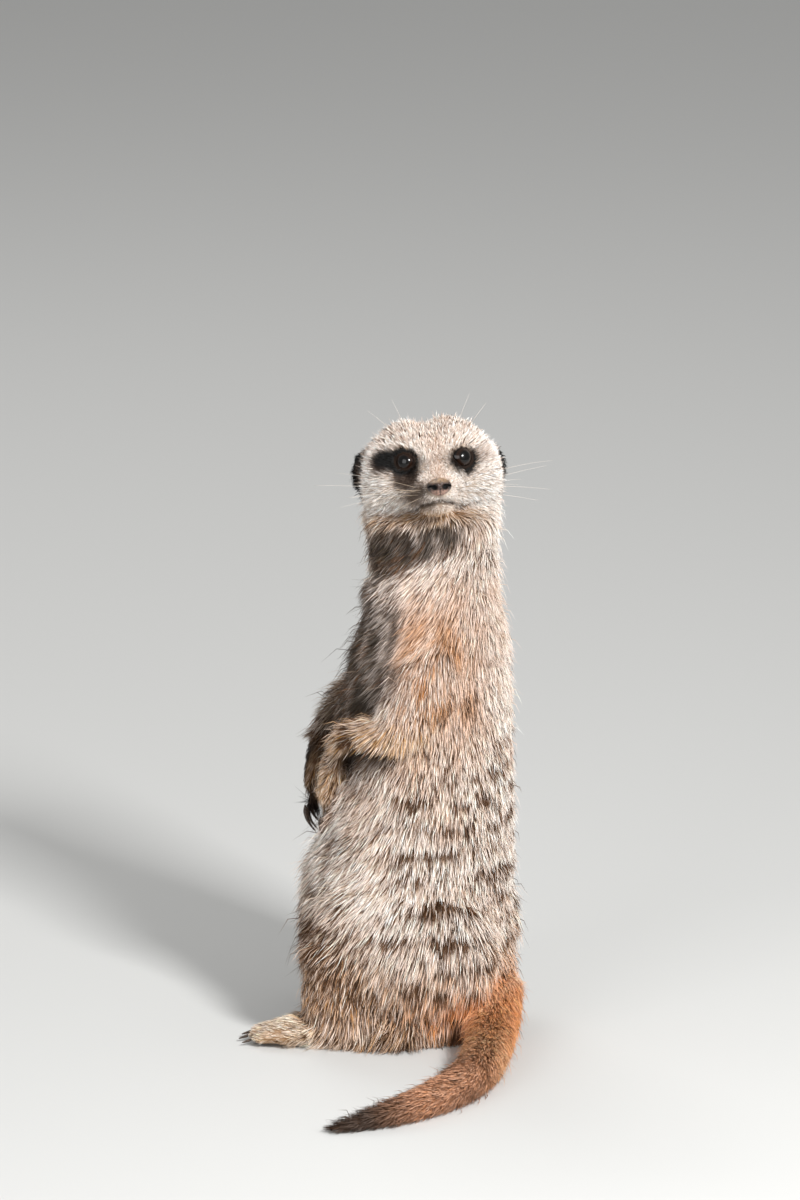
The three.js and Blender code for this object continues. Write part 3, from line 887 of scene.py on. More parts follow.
# %% [markdown]
# The face is white, with a tan crown and bridge. The black ring round each eye cuts the glare of the
# sun. It isn't round: brown trails from it to the cheek and the muzzle. Round the right eye the ring is
# larger and its trail darker, reaching down to the muzzle, as painted shade. Painted shade also darkens
# the sides of the muzzle, the chin and the corner of the mouth, most of all on the animal's right.

# %% Paint the face
def oval(q, middle, radii, soft=0.18):
    """1 inside an oval seen from in front of the face, fading to 0 across its edge."""
    reach = np.hypot((q[:, 0] - middle[0]) / radii[0], (q[:, 2] - middle[1]) / radii[1])
    return step(1 + soft, 1 - soft, reach + 0.22 * (noise(1.1, 17) - 0.5))


def eye_patch(side):
    """The black ring round an eye, and the brown that trails from it to the cheek and the muzzle."""
    q = from_eye(head_points, side) * SIDES[side]
    facing = (head_y < -6) * np.clip(head_part * 1.5, 0, 1)
    if side == "right":
        # Round the right eye the ring is larger and its trail reaches down the muzzle: real markings with
        # painted shade added.
        ring = np.maximum(oval(q, (2.2, 0.0), (6.8, 6.0)), oval(q, (7.4, 0.8), (5.4, 4.3), 0.32))
        trail = np.maximum(oval(q, (1.4, -6.6), (5.0, 5.0), 0.4), oval(q, (10.2, -1.0), (3.8, 4.2), 0.5))
    else:
        ring = np.maximum(oval(q, (1.4, -0.5), (6.4, 5.7)), oval(q, (2.8, -4.8), (2.6, 3.2), 0.35))
        below = oval(q, (3.4, -6.4), (2.4, 2.6), 0.5) * 0.7
        trail = np.maximum(oval(q, (9.2, 0.2), (4.6, 4.2), 0.6) * 0.6, below)
    return ring * facing, trail * facing


def face_colours(colour):
    """The white face, the tan of its crown and bridge, and painted shade under the cheeks, on the chin and
    round the mouth, most of it on the animal's right.
    """
    x, y, z = head_points.T
    speckle, flecks = noise(1.7, 11), noise((1.1, 1.1, 2.2), 12)
    crown = step(5, 15, z) * step(-36, -26, y)
    middle_brow = bell(x, 0, 6) * step(2, 12, z)
    bridge = bell(x, 0.5, 5.0) * step(-20, -32, y) * step(-12, -7, z)
    # The grey-brown sides of the muzzle, with painted shade that is darker on the animal's right.
    shade = bell(np.abs(x), 7.0, 3.4) * bell(z, -9.0, 4.8) * step(-25, -31, y)
    # Painted shadow on the right side of the muzzle, below the eye.
    muzzle_shadow = bell(x, -10.0, 5.2) * bell(z, -12.0, 5.6) * step(-18, -26, y)
    chin = bell(z, -17.5, 2.5) * step(-22, -30, y) * head_part
    under = step(-17.5, -21, z) * head_part * step(-4, -18, y)
    # The dark line of the lips, widened on the animal's right by painted shade.
    lips = bell(z, mouth_height(y), 1.1 + 0.9 * step(-5, -11, x))
    lips *= step(-12, -19, y) * np.clip(head_part * 1.3, 0, 1)
    # Painted shade at the right corner of the mouth.
    corner = bell(x, -12, 5) * bell(z, mouth_height(y) - 1.5, 2.6) * step(-16, -22, y) * head_part
    spots = step(0.6, 0.75, flecks) * bell(x, 14, 6) * bell(z, -12.5, 4) * step(-22, -28, y)
    return painted(
        colour,
        (WHITE, head_part),
        (TAN, head_part * crown * (0.12 + 0.75 * step(0.42, 0.8, speckle))),
        (FAWN, head_part * middle_brow * 0.6 * step(0.45, 0.75, flecks)),
        (CREAM, head_part * step(2, 22, y)),
        (TAN, head_part * bridge * (0.5 + 0.4 * speckle)),
        (BROWN, head_part * bridge * 0.75 * step(0.55, 0.75, flecks)),
        (tone(104, 90, 80), head_part * shade * np.where(x < 0, 1.0, 0.3)),
        (tone(98, 84, 74), head_part * muzzle_shadow),
        (tone(206, 186, 168), chin * 0.6),
        # Painted shade on the right half of the chin.
        (tone(128, 108, 92), chin * 0.8 * step(1, -8, x)),
        (tone(214, 186, 150), under * 0.8),
        (SOOT, lips),
        (SMOKE, corner * 0.7),
        (BROWN, spots * 0.6 * head_part),
    )


def eye_and_ear_colours(colour):
    x, y, z = head_points.T
    for side in SIDES:
        ring, trail = eye_patch(side)
        # The right eye's trail is darkened further, as painted shade.
        soot_and_shade = 0.15 if side == "left" else 0.8
        colour = painted(colour, (BROWN, trail * 0.85), (SOOT, trail * soot_and_shade), (BLACK, ring))
    middle, tall = np.where(x > 0, -4.5, -1.0), np.where(x > 0, 9.5, 12.0)
    from_ear = np.hypot((y - 2.0) / 10.5, (z - middle) / tall) + 0.3 * (noise(2.5, 15) - 0.5)
    on_side = step(26.2, 29, np.abs(x))
    return painted(
        colour,
        (BLACK, part["ear"] * 1.8 * np.where(x > 0, step(10, 5, z), 1)),
        (BLACK, step(1.15, 0.85, from_ear) * on_side * 0.95),
        (tone(96, 82, 72), step(0.6, 0.3, from_ear) * on_side * 0.6),
    )


colour = eye_and_ear_colours(face_colours(colour))
print("mean colour of the head", colour[head_part > 0.5].mean(0).round(3))

# %% [markdown]
# Under the chin lies a golden band, and below it the fur of the turned neck opens in folds, which
# show the dark underfur, with painted shadow from the jaw that reaches furthest on the animal's right.
# The folds end in pale streaks, where single locks cross them. Painted shade lies in the crease across
# the neck.

# %% Paint the throat
def throat_colours(colour):
    """A golden band under the chin, below it the dark underfur of the throat's folds with painted shadow
    from the jaw, and painted shade in the crease across the neck.
    """
    x, y, z = head_points.T
    # The painted shadow under the jaw reaches further back on the animal's right.
    aside = 12 * step(-4, -14, x)
    throat_part = np.clip(part["neck"] + part["jaw"] + part["head"] * step(-17, -19, z), 0, 1)
    in_front = step(2 + aside, -10 + aside, y) * throat_part
    edge = -36 + 0.45 * x
    # Dark underfur in the folds, with painted shadow from the jaw.
    folds_and_jaw_shadow = step(edge - 4, edge + 2, z) * step(-21.5, -24.0, z) * step(20, 8, x) * in_front
    pale_streaks = noise_above(0.5, 0.7, (2.0, 2.0, 9), 87)
    band = bell(z, -20.6, 1.9) * in_front * step(22, 12, x)
    # Painted shade in the crease across the base of the neck.
    crease_shade_across_neck = bell(body_points[:, 2] - 0.3 * body_points[:, 1], 229, 2.6) * step(16, 2, body_points[:, 1])
    return painted(
        colour,
        (tone(44, 34, 24), folds_and_jaw_shadow * (0.95 - 0.3 * pale_streaks)),
        (tone(184, 140, 86), band * 0.9),
        (SOOT, crease_shade_across_neck * part["neck"] * 0.8),
    )


colour = throat_colours(colour)
print("mean colour of the neck", colour[part["neck"] > 0.5].mean(0).round(3))

# %% [markdown]
# Dark bars cross the lower back from side to side. They are rows of short flecks, uneven and often
# broken, so a wave up the back is bent and torn by noise, and more noise makes the flecks.

# %% Paint the bars across the back
BAR_STEP, BAR_TOP, BAR_END = 12, 158, 28  # mm between the bars, and the heights where they end


def back_bars():
    """The rows that cross the back from side to side, broken and uneven."""
    x, y, z = body_points.T
    wave = 0.5 + 0.5 * np.cos(2 * np.pi * (z + 5 * noise(24, 8)) / BAR_STEP)
    bars = step(0.6, 0.88, wave) * noise_above(0.4, 0.5, (6.5, 6.5, 5), 21) * step(-16, 10, y)
    return bars * step(BAR_TOP, BAR_TOP - 40, z) * step(BAR_END - 8, BAR_END + 10, z)


def row_flecks():
    """Short dark flecks, which gather into rows across the back."""
    return noise_above(0.52, 0.64, (2.8, 2.8, 4.5), 77)


fleck_mask = (0.5 + 0.5 * row_flecks()) * back_bars() * (part["trunk"] + part["thigh"])
colour = painted(blurred(colour, edges, 1), (tone(100, 72, 54), 0.85 * fleck_mask))
print("mean coat colour", colour.mean(0).round(3))

# %% [markdown]
# A meerkat's coat is grizzled: dark hairs stand among pale ones. Painting that as a blur would look
# like felt, so each point gets the share of its hairs that are dark instead, and every hair later
# draws lots by it. The bars across the back are mostly made of such dark hairs.

# %% The share of dark hairs
def dark_share():
    """The share of dark hairs among the pale ones, which draws the bars and the grizzle, and painted shade
    low on the haunches, on the throat and on the chest.
    """
    x, y, z = body_points.T
    torso = part["trunk"] + part["thigh"]
    bars, flecks = back_bars(), row_flecks()
    share = 0.3 * torso + 0.24 * part["upper_arm"] + (0.26 - 0.14 * step(0, 20, y)) * part["neck"]
    share += (0.36 + 0.4 * flecks) * bars * torso
    share += 0.24 * flecks * step(-14, 14, y) * step(160, 130, z) * torso
    share -= 0.14 * torso * step(-20, 0, y)
    share += 0.08 * noise_above(0.5, 0.75, (5, 5, 9), 31) * torso * step(150, 120, z)
    # Painted shade: more dark hairs low on the haunches, and most at their front.
    share += 0.22 * step(85, 15, z) * (torso + part["shank"]) * step(40, 10, y)
    share += 0.24 * step(88, 40, z) * (torso + part["shank"]) * step(-2, -26, y)
    share += 0.16 * shoulder_rust() * step(176, 158, z) * torso
    share += 0.1 * step(85, 15, z) * torso * step(10, 40, y)
    # Painted shadow under the jaw: more dark hairs on the throat.
    share += 0.3 * bell(head_z, -36, 8) * part["neck"] * step(8, -8, head_y)
    arm_bars = noise_above(0.5, 0.65, (7, 7, 2.2), 51)
    share += (0.2 + 0.45 * arm_bars) * part["forearm"] + 0.45 * heel_part
    share += 0.16 * part["foot"] + 0.3 * part["hand"]
    share += part["tail"] * (0.08 + 0.16 * noise_above(0.5, 0.75, (6, 4, 4), 41))
    # More dark hairs on the chest: dark underfur with painted shade.
    share += 0.3 * step(-8, -28, y) * step(115, 140, z) * step(230, 215, z) * (part["trunk"] + part["neck"])
    share *= 1 - 0.75 * rump_patch()
    share += head_part * (0.1 + 0.2 * step(5, 15, head_z))
    return np.clip(share, 0, 0.9)


darkness = dark_share()
one_tone = np.clip(part["tail"] + rump_patch() + shoulder_rust() * (part["trunk"] + part["neck"]), 0, 1)
print("mean share of dark hairs", darkness.mean().round(3))

# %% [markdown]
# Two effects serve both the skin and the coat, so they are node groups: one turns the painted colour
# into that of a hair from root to tip, and the other gives a fine grain of hair for bump.

# %% Shader groups
GREEN_POWER, BLUE_POWER = 1.26, 1.56  # a hair's dark root loses blue first, then green, so it is brown


def new_group(name, inputs, output, kind):
    group = bpy.data.node_groups.new(name, "ShaderNodeTree")
    for label, socket_type, default in inputs:
        socket = group.interface.new_socket(label, in_out="INPUT", socket_type=socket_type)
        socket.default_value = default
    group.interface.new_socket(output, in_out="OUTPUT", socket_type=kind)
    start = group.nodes.new("NodeGroupInput")
    end = group.nodes.new("NodeGroupOutput")
    return group, start, end


def add_node(tree, kind, inputs, **settings):
    """Adds a shader node, sets its properties, and gives each input a value or a socket's link."""
    made = tree.nodes.new("ShaderNode" + kind)
    for key, value in settings.items():
        setattr(made, key, value)
    for key, value in inputs.items():
        if isinstance(value, bpy.types.NodeSocket):
            tree.links.new(value, made.inputs[key])
        else:
            made.inputs[key].default_value = value
    return made


def place_of(tree):
    return add_node(tree, "TexCoord", {}).outputs["Object"]


def stored(tree, name, output):
    """What the mesh keeps at each of its points under a name."""
    return add_node(tree, "Attribute", {}, attribute_name=name).outputs[output]


def scaled(tree, colour, factor):
    return add_node(tree, "VectorMath", {0: colour, "Scale": factor}, operation="SCALE").outputs[0]


def hair_colour_group():
    group, start, end = new_group("hair colour", [
        ("Colour", "NodeSocketColor", (1, 1, 1, 1)),
        ("Strand", "NodeSocketFloat", 1.0),
        ("Root", "NodeSocketFloat", 0.3),
    ], "Colour", "NodeSocketColor")
    grain = add_node(group, "TexNoise", {"Scale": 900.0, "Detail": 2.0, "Vector": place_of(group)})
    vary = add_node(group, "MapRange", {"To Min": 0.86, "To Max": 1.14, "Value": grain.outputs["Fac"]})
    rise = add_node(group, "MapRange", {
        "From Min": 0.15, "From Max": 0.72, "To Max": 1.0,
        "Value": start.outputs["Strand"], "To Min": start.outputs["Root"],
    }, interpolation_type="SMOOTHSTEP").outputs[0]
    browner = add_node(group, "CombineXYZ", {
        "X": rise,
        "Y": add_node(group, "Math", {0: rise, 1: GREEN_POWER}, operation="POWER").outputs[0],
        "Z": add_node(group, "Math", {0: rise, 1: BLUE_POWER}, operation="POWER").outputs[0],
    })
    light = scaled(group, browner.outputs[0], vary.outputs[0])
    final = add_node(group, "VectorMath", {0: start.outputs["Colour"], 1: light}, operation="MULTIPLY")
    group.links.new(final.outputs[0], end.inputs["Colour"])
    return group


def hair_grain_group():
    group, start, end = new_group("hair grain", [
        ("Length", "NodeSocketFloat", 0.2),
        ("Scale", "NodeSocketFloat", 1500.0),
    ], "Height", "NodeSocketFloat")
    stretch = add_node(group, "CombineXYZ", {"X": 1.0, "Y": 1.0, "Z": start.outputs["Length"]})
    moved = add_node(group, "VectorMath", {0: place_of(group), 1: stretch.outputs[0]}, operation="MULTIPLY")
    grain = add_node(group, "TexNoise", {
        "Detail": 3.0, "Vector": moved.outputs[0], "Scale": start.outputs["Scale"],
    })
    group.links.new(grain.outputs["Fac"], end.inputs["Height"])
    return group


hair_colour, hair_grain = hair_colour_group(), hair_grain_group()
print("groups:", hair_colour.name, "and", hair_grain.name)

# %% [markdown]
# The skin and the coats then differ only in a few numbers: how dark a hair's root is, how dull it is
# and how deep its grain. Hair shines far less than bare skin, so the specular level is low.

# %% Materials of the skin and the hair
HAIR_SHINE = 0.16
GRAIN_LENGTH, GRAIN_DEPTH = 0.25, 0.4 * MM


def hair_material(name, root, roughness, bump):
    """The material of a coat, or of the skin under it, which reads the painted colour."""
    made, tree, shader = new_material(name, Roughness=roughness, Specular_IOR_Level=HAIR_SHINE)
    look = add_node(tree, "Group", {
        "Colour": stored(tree, "hair", "Color"), "Strand": stored(tree, "strand", "Fac"), "Root": root,
    }, node_tree=hair_colour)
    tree.links.new(look.outputs["Colour"], shader.inputs["Base Color"])
    grain = add_node(tree, "Group", {"Length": GRAIN_LENGTH}, node_tree=hair_grain)
    relief = add_node(tree, "Bump", {
        "Strength": bump, "Distance": GRAIN_DEPTH, "Height": grain.outputs["Height"],
    })
    tree.links.new(relief.outputs["Normal"], shader.inputs["Normal"])
    return made


skin_material = hair_material("skin and underfur", 0.2, 0.75, 0.8)
coat_material = hair_material("body hair", 0.4, 0.5, 0.1)
face_material = hair_material("face hair", 0.52, 0.55, 0.1)
tail_material = hair_material("tail hair", 0.56, 0.5, 0.1)
print("materials:", [m.name for m in (skin_material, coat_material, face_material, tail_material)])

# %% [markdown]
# Between the hairs one sees down to the underfur, so the skin wears the same markings as the coat. It
# stores them, and how far along a hair its own colour lies, at every point, and the material reads
# both. An image would need finer pieces of map, and would blur where two of them meet.

# %% Paint the skin
def set_colours(mesh, name, colours):
    layer = mesh.color_attributes.new(name, "FLOAT_COLOR", "POINT")
    layer.data.foreach_set("color", np.c_[colours, np.ones(len(colours))].astype(np.float32).ravel())


def set_values(mesh, name, values):
    layer = mesh.attributes.new(name, "FLOAT", "POINT")
    layer.data.foreach_set("value", values.astype(np.float32))


UNDERFUR = 0.34  # how far along a hair the skin's own colour lies; the face's is nearer the tip
set_colours(skin.data, "hair", painted(colour, (BROWN, darkness)))
face_gain, tail_gain = 0.1 * head_part * step(8, -12, head_y), 0.3 * part["tail"]
set_values(skin.data, "strand", UNDERFUR + face_gain + tail_gain)
skin.data.materials.clear()
skin.data.materials.append(skin_material)
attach(skin, "root")
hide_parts(*[n for n in flesh if not n.startswith("eye_")])
print("the skin is painted")

# %% [markdown]
# The coat is many thousand solid hairs. Each is a thin spike that is sunk in the skin, rises at a low
# angle and lies along the coat. Fine spikes of four faces fill the coat, and longer bent guard hairs
# of ten faces lie over them. Hairs near each other lean together into locks, which leaves the dark
# gaps that make a grizzled coat.

# %% How long, how lifted and how wide the hair is
LENGTH = {"head": 3.9, "jaw": 3.4, "ear": 2.6, "neck": 6.6, "trunk": 7.8, "thigh": 8.2, "shank": 6.5,
          "foot": 6.4, "upper_arm": 7.6, "forearm": 6.8, "hand": 5.0, "tail": 6.0}
LIFT = {"head": 21, "jaw": 18, "ear": 16, "neck": 21, "trunk": 18, "thigh": 18, "shank": 18,
        "foot": 19, "upper_arm": 18, "forearm": 27, "hand": 26, "tail": 16}  # degrees off the skin
WIDTH = {"head": 0.33, "jaw": 0.32, "ear": 0.34, "neck": 0.38, "trunk": 0.4, "thigh": 0.4, "shank": 0.4,
         "foot": 0.36, "upper_arm": 0.4, "forearm": 0.38, "hand": 0.34, "tail": 0.4}


def round_the_eyes():
    """1 on the lids and their rims, and less further off."""
    near = np.zeros(len(points))
    for side in SIDES:
        outside, distance = lid_place(head_points, side)
        near = np.maximum(near, step(34, 4, outside) * step(13, 9, distance))
    return near


def coat_fields():
    """The length, lift and width of the hair at each point of the skin, in mm and degrees, and how
    much more closely it stands where it is short."""
    x, y, z = body_points.T
    muzzle = step(-24, -42, head_y) * head_part
    cheek = step(15, 23, np.abs(head_x)) * step(-32, -20, head_y) * head_part
    cheek *= step(-10, -16, head_y) + step(-12, -18, head_z)
    belly = step(-22, -42, y) * step(150, 110, z) * step(5, 40, z) * (part["trunk"] + part["thigh"])
    chest = step(-12, -28, y) * step(100, 116, z) * step(166, 150, z) * part["trunk"]
    ruff = bell(z, 206, 6) * step(2, -14, y) * (part["trunk"] + part["neck"])
    hem = step(40, 10, z) * (part["trunk"] + part["thigh"] + part["shank"])
    inner_arm = part["forearm"] * step(0.1, 0.7, -normals[:, 0] * np.sign(x)) * step(148, 138, z)
    far_hand = part["hand"] * step(-4, -10, x)
    back_of_far_hand = far_hand * step(0.1, -0.5, normals[:, 1])
    near_lids = round_the_eyes()
    changes = [  # where, share of its length that a hair gains, mm that it gains, degrees of lift
        ((0.54 - 0.24 * part["jaw"]) * muzzle, -1, 0, 0),
        (step(10, -14, head_y) * head_part, -0.22, 0, 0),
        (step(-2, -14, head_z) * step(-34, -22, head_y) * part["head"], 0.35, 0, 0),
        (belly, 0.3, 0, 5),
        (heel_part, 0, 4.5, 8),
        (step(-5, 20, y) * step(190, 165, z) * part["trunk"], -0.18, 0, 0),
        (chest, 0, 5.5, 20),
        (step(-8, -22, y) * bell(z, 174, 12) * part["trunk"], 0, 2.4, 0),
        (step(-8, -26, y) * step(120, 140, z) * part["trunk"], 0, 0, 6),
        (ruff, 0, 3, 16),
        (hem, 0.4, 0, 5),
        (inner_arm, 0.6, 0, 12),
        (np.clip(elbow_hollow(), 0, 1), -0.5, 0, 0),
        (bell(head_z, mouth_height(head_y), 1.8) * head_part, -0.4, 0, 0),
        (cheek, 0.25, 0, 12),
        (noise(5, 61) - 0.5, 0.36, 0, 0),
        (part["foot"] * step(-40, -48, y), -0.55, 0, 0),
        (0.4 * far_hand - 0.7 * back_of_far_hand, 1, 0, 0),
        (back_of_far_hand, 0, 0, -12),
        (far_hand * step(108, 100, z), 0.8, 0, 0),
        (part["tail"] * step(60, 10, from_tail_tip(points)), -0.1, 0, 14),
        (near_lids, -0.55, 0, 0),
    ]
    length, lift = by_region(weights, LENGTH), by_region(weights, LIFT)
    for where, share, more, degrees in changes:
        length = length * (1 + share * where) + more * where
        lift = lift + degrees * where
    width = by_region(weights, WIDTH) * (1 - 0.15 * muzzle) * (1 - 0.12 * near_lids)
    return length, lift, width, 1 + 1.1 * near_lids + 0.8 * muzzle


def thickness_of_coat():
    """How densely the hair stands, from 0 where the skin is bare."""
    dense = np.ones(len(points))
    for side in SIDES:
        outside, distance = lid_place(head_points, side)
        dense *= 1 - (distance < EYE_RADIUS + 1.6) * step(3.5, 1.5, outside)
    pad = reach_of((head_points - [0, -47, -8.9]) / [6.2, 5.0, 4.6])
    dense *= step(0.85, 1.05, pad)
    dense *= 1 - step(-0.5, -0.9, normals[:, 2]) * step(5, 1.5, body_points[:, 2])
    at_lips = bell(head_z, mouth_height(head_y), 0.8) * step(-12, -19, head_y)
    dense *= 1 - 0.95 * at_lips * np.clip(head_part, 0, 1)
    return dense


hair_length, hair_lift, hair_width, closeness = coat_fields()
hair_density = thickness_of_coat() * closeness
print("hairs are", hair_length.min().round(1), "to", hair_length.max().round(1), "mm long")

# %% [markdown]
# Real hairs share their follicles in small groups and stick together in locks. Here the roots are
# scattered at random over the triangles of the skin, by their area. Each hair then bends its tip
# towards that of the nearest leader of its lock, first in large locks and then in small ones.

# %% Scatter the roots and gather the locks
LENGTH_LUCK, LIFT_LUCK, WIDTH_LUCK = (0.72, 1.28), (0.6, 1.4), (0.8, 1.2)
UPRIGHT_SHARE, UPRIGHT_LIFT = 0.07, 2.2
WILD_SHARE, WILD_LENGTH, WILD_LIFT = 0.022, 1.5, 2.1
STRAY = 0.16  # how far hairs stray to the sides, in radians
SINK = 0.5 * MM  # how deep the roots are sunk
LOCKS = [(35, 0.4), (5, 1.0)]  # hairs in a lock, and how strongly they are drawn together

triangle_points = read(skin.data.polygons, "vertices", 3, np.int32)
a, b, c = (points[triangle_points[:, k]] for k in range(3))
triangle_area = reach_of(np.cross(b - a, c - a)) / 2 / MM**2
print("the skin's area is", round(triangle_area.sum() / 100), "square cm")


def scattered(chosen, count, rng):
    """Roots at random on the chosen part of the skin: triangles and places inside them."""
    share = (chosen * hair_density)[triangle_points].mean(1) * triangle_area
    total = np.cumsum(share)
    picked = np.searchsorted(total, rng.random(count) * total[-1])
    u, v = rng.random((2, count))
    over = u + v > 1
    u[over], v[over] = 1 - u[over], 1 - v[over]
    return picked, np.stack([1 - u - v, u, v], axis=1)


def at_roots(field, picked, inside):
    values = field[triangle_points[picked]]
    return np.einsum("ij,ij...->i...", inside, values)


def nearest_lock(roots, seeds):
    tree = KDTree(len(seeds))
    for k, place in enumerate(seeds):
        tree.insert(place, k)
    tree.balance()
    return np.array([tree.find(p)[1] for p in roots])


def risen(way, normal, angle):
    """The way a hair points, once it has risen from the skin by an angle."""
    return way * np.cos(angle)[:, None] + normal * np.sin(angle)[:, None]


def hair_paths(picked, inside, rng, longer, clumping):
    """Roots, middles, tips and the rest of what a hair needs, gathered into locks."""
    count = len(picked)
    root, normal = at_roots(points, picked, inside), unit(at_roots(normals, picked, inside))
    way = unit(laid_flat(at_roots(lie, picked, inside), normal))
    aside = np.cross(normal, way)
    length = at_roots(hair_length, picked, inside) * MM * longer * rng.uniform(*LENGTH_LUCK, count)
    lift = np.radians(at_roots(hair_lift, picked, inside)) * rng.uniform(*LIFT_LUCK, count)
    lift *= np.where(rng.random(count) < UPRIGHT_SHARE, UPRIGHT_LIFT, 1.0)
    wild = rng.random(count) < WILD_SHARE
    half = 0.5 * (length * np.where(wild, WILD_LENGTH, 1))[:, None]
    lift = lift * np.where(wild, WILD_LIFT, 1)
    way = unit(way + aside * rng.normal(0, STRAY, count)[:, None])
    middle = root + half * risen(way, normal, 1.4 * lift)
    tip = middle + half * risen(way, normal, 0.7 * lift)
    for size, strength in LOCKS:
        seeds = rng.choice(count, max(count // size, 1), replace=False)
        lock = nearest_lock(root, root[seeds])
        pull = clumping * strength * rng.uniform(0.4, 1.0, count)[:, None]
        tip = tip + (tip[seeds][lock] - tip) * pull
        middle = middle + (middle[seeds][lock] - middle) * pull * 0.35
    width = at_roots(hair_width, picked, inside) * MM * rng.uniform(*WIDTH_LUCK, count)
    return {"root": root - normal * SINK, "middle": middle, "tip": tip, "normal": normal,
            "lock": lock, "locks": len(seeds), "width": width}

# %% [markdown]
# No two hairs have one colour. A hair takes the markings of the skin at its root, and lots decide
# whether it is one of the dark ones, how light it is and how brown. Hairs of one lock share a part
# of their luck, so that dark and pale locks stand apart, as they do on the animal.

# %% Colour each hair
UNDERCOAT = np.array([0.68, 0.58, 0.50])  # what the browner hairs of the undercoat keep of a colour
LIGHTEST = 0.97


def hair_colours(picked, inside, lock, locks, rng, guard):
    """Each hair takes the skin's markings where it grows, a little lighter or darker than they are.
    The fine hairs are browner than the guard hairs that lie over them."""
    count = len(picked)
    shade = at_roots(colour, picked, inside)
    share = at_roots(darkness, picked, inside)
    lock_luck, own_luck = rng.random(locks)[lock], rng.random(count)
    is_dark = 0.5 * lock_luck + 0.5 * own_luck < share * (0.9 if guard else 1.0)
    mixed = step(0.12, 0.35, shade.mean(1)) * (1 - 0.8 * at_roots(one_tone, picked, inside))
    tinting = 1 + rng.uniform(-0.85, 0.25, (count, 1)) * mixed[:, None]
    shade = np.clip(CREAM + (shade - CREAM) * tinting, 0.01, 1)
    if not guard:
        shade = shade + (shade * UNDERCOAT - shade) * rng.uniform(0.1, 1.0, (count, 1))
    shade = np.where(is_dark[:, None], np.minimum(BROWN * rng.uniform(0.35, 1.0, (count, 1)), shade), shade)
    light = rng.normal(1.04 if guard else 1, 0.13, count) * (1 + 0.16 * (rng.random(locks)[lock] - 0.5))
    return np.clip(shade * light[:, None], 0, LIGHTEST)


print("the undercoat keeps", UNDERCOAT, "of a colour's red, green and blue")

# %% [markdown]
# Hair curves would be quick to grow, but the finished model has to be plain meshes. So each hair is a
# closed solid: rings of three points and a tip, wound so that its faces point outwards. Its shading
# normals stand up from the lie of the coat, or a thousand tiny edges would glitter.

# %% Build solid hairs
PATCH = 0.003  # width and height of a hair's patch on the map
FAN = 0.6  # how far the shading turns to the flanks of a hair
MIDDLE_WIDTH, CREST = 0.8, 1.1
ABOVE_FLOOR = 0.15 * MM
SPIKE = np.array([[1, 0, 3], [2, 1, 3], [0, 2, 3], [0, 1, 2]])
GUARD = np.array([[1, 0, 4], [4, 0, 3], [2, 1, 5], [5, 1, 4], [0, 2, 3], [3, 2, 5],
                  [4, 3, 6], [5, 4, 6], [3, 5, 6], [0, 1, 2]])


def ring_round(place, ahead_of, normal, width):
    """Three points round a hair: two flanks and a crest."""
    aside = unit(np.cross(ahead_of, normal))
    crest = np.cross(aside, ahead_of)
    half = width[:, None] / 2
    return [place - aside * half, place + aside * half, place + crest * half * CREST]


def soft_normals(hairs, bent):
    """Shading normals that stand up from the lie of the coat, fanned a little across each hair."""
    heading = unit(hairs["tip"] - hairs["root"])
    aside = unit(np.cross(heading, hairs["normal"]))
    up = np.cross(aside, heading)
    ring = [unit(up - aside * FAN), unit(up + aside * FAN), up]
    return np.stack(ring * (2 if bent else 1) + [up], axis=1).reshape(-1, 3)


def hair_mesh(hairs, shades, places, bent):
    """Corner points, faces, strand values and map places of many hairs."""
    first = unit(hairs["middle"] - hairs["root"])
    rings = ring_round(hairs["root"], first, hairs["normal"], hairs["width"])
    steps, heights = [0.0] * 3, [-0.5] * 3
    sides = [-0.5, 0.5, 0.0]
    if bent:
        second = unit(hairs["tip"] - hairs["root"])
        rings += ring_round(hairs["middle"], second, hairs["normal"], hairs["width"] * MIDDLE_WIDTH)
        steps, heights, sides = steps + [0.5] * 3, heights + [0.0] * 3, sides * 2
    corners = np.stack(rings + [hairs["tip"]], axis=1)
    corners[:, :, 2] = np.maximum(corners[:, :, 2], ABOVE_FLOOR)
    steps, heights, sides = steps + [1.0], heights + [0.5], sides + [0.0]
    shape = GUARD if bent else SPIKE
    count, size = len(corners), len(steps)
    faces = (np.arange(count)[:, None, None] * size + shape).reshape(-1, 3)
    patch = np.stack([sides, heights], axis=1) * PATCH
    return (corners.reshape(-1, 3), faces, np.tile(steps, count),
            np.clip(places[:, None] + patch, 0, 1).reshape(-1, 2), np.repeat(shades, size, axis=0),
            soft_normals(hairs, bent))


def mesh_from(name, corners, faces, strand, places, shades):
    mesh = bpy.data.meshes.new(name)
    mesh.vertices.add(len(corners))
    mesh.vertices.foreach_set("co", corners.astype(np.float32).ravel())
    mesh.loops.add(faces.size)
    mesh.loops.foreach_set("vertex_index", faces.astype(np.int32).ravel())
    mesh.polygons.add(len(faces))
    mesh.polygons.foreach_set("loop_start", np.arange(0, faces.size, 3, dtype=np.int32))
    mesh.polygons.foreach_set("use_smooth", np.ones(len(faces), bool))
    mesh.update(calc_edges=True)
    set_colours(mesh, "hair", shades)
    set_values(mesh, "strand", strand)
    layer = mesh.uv_layers.new(name=MAP_NAME)
    layer.data.foreach_set("uv", places[faces.ravel()].astype(np.float32).ravel())
    return mesh


print("a fine hair has", len(SPIKE), "triangles and a guard hair", len(GUARD))

# %% [markdown]
# The coat grows in ten pieces, one for each part of the body, so that no piece gets too large. The
# guard hairs are a fifth longer than the fine hairs, and lie over them. The face has short and close
# hair, and so takes the most hairs for its size.

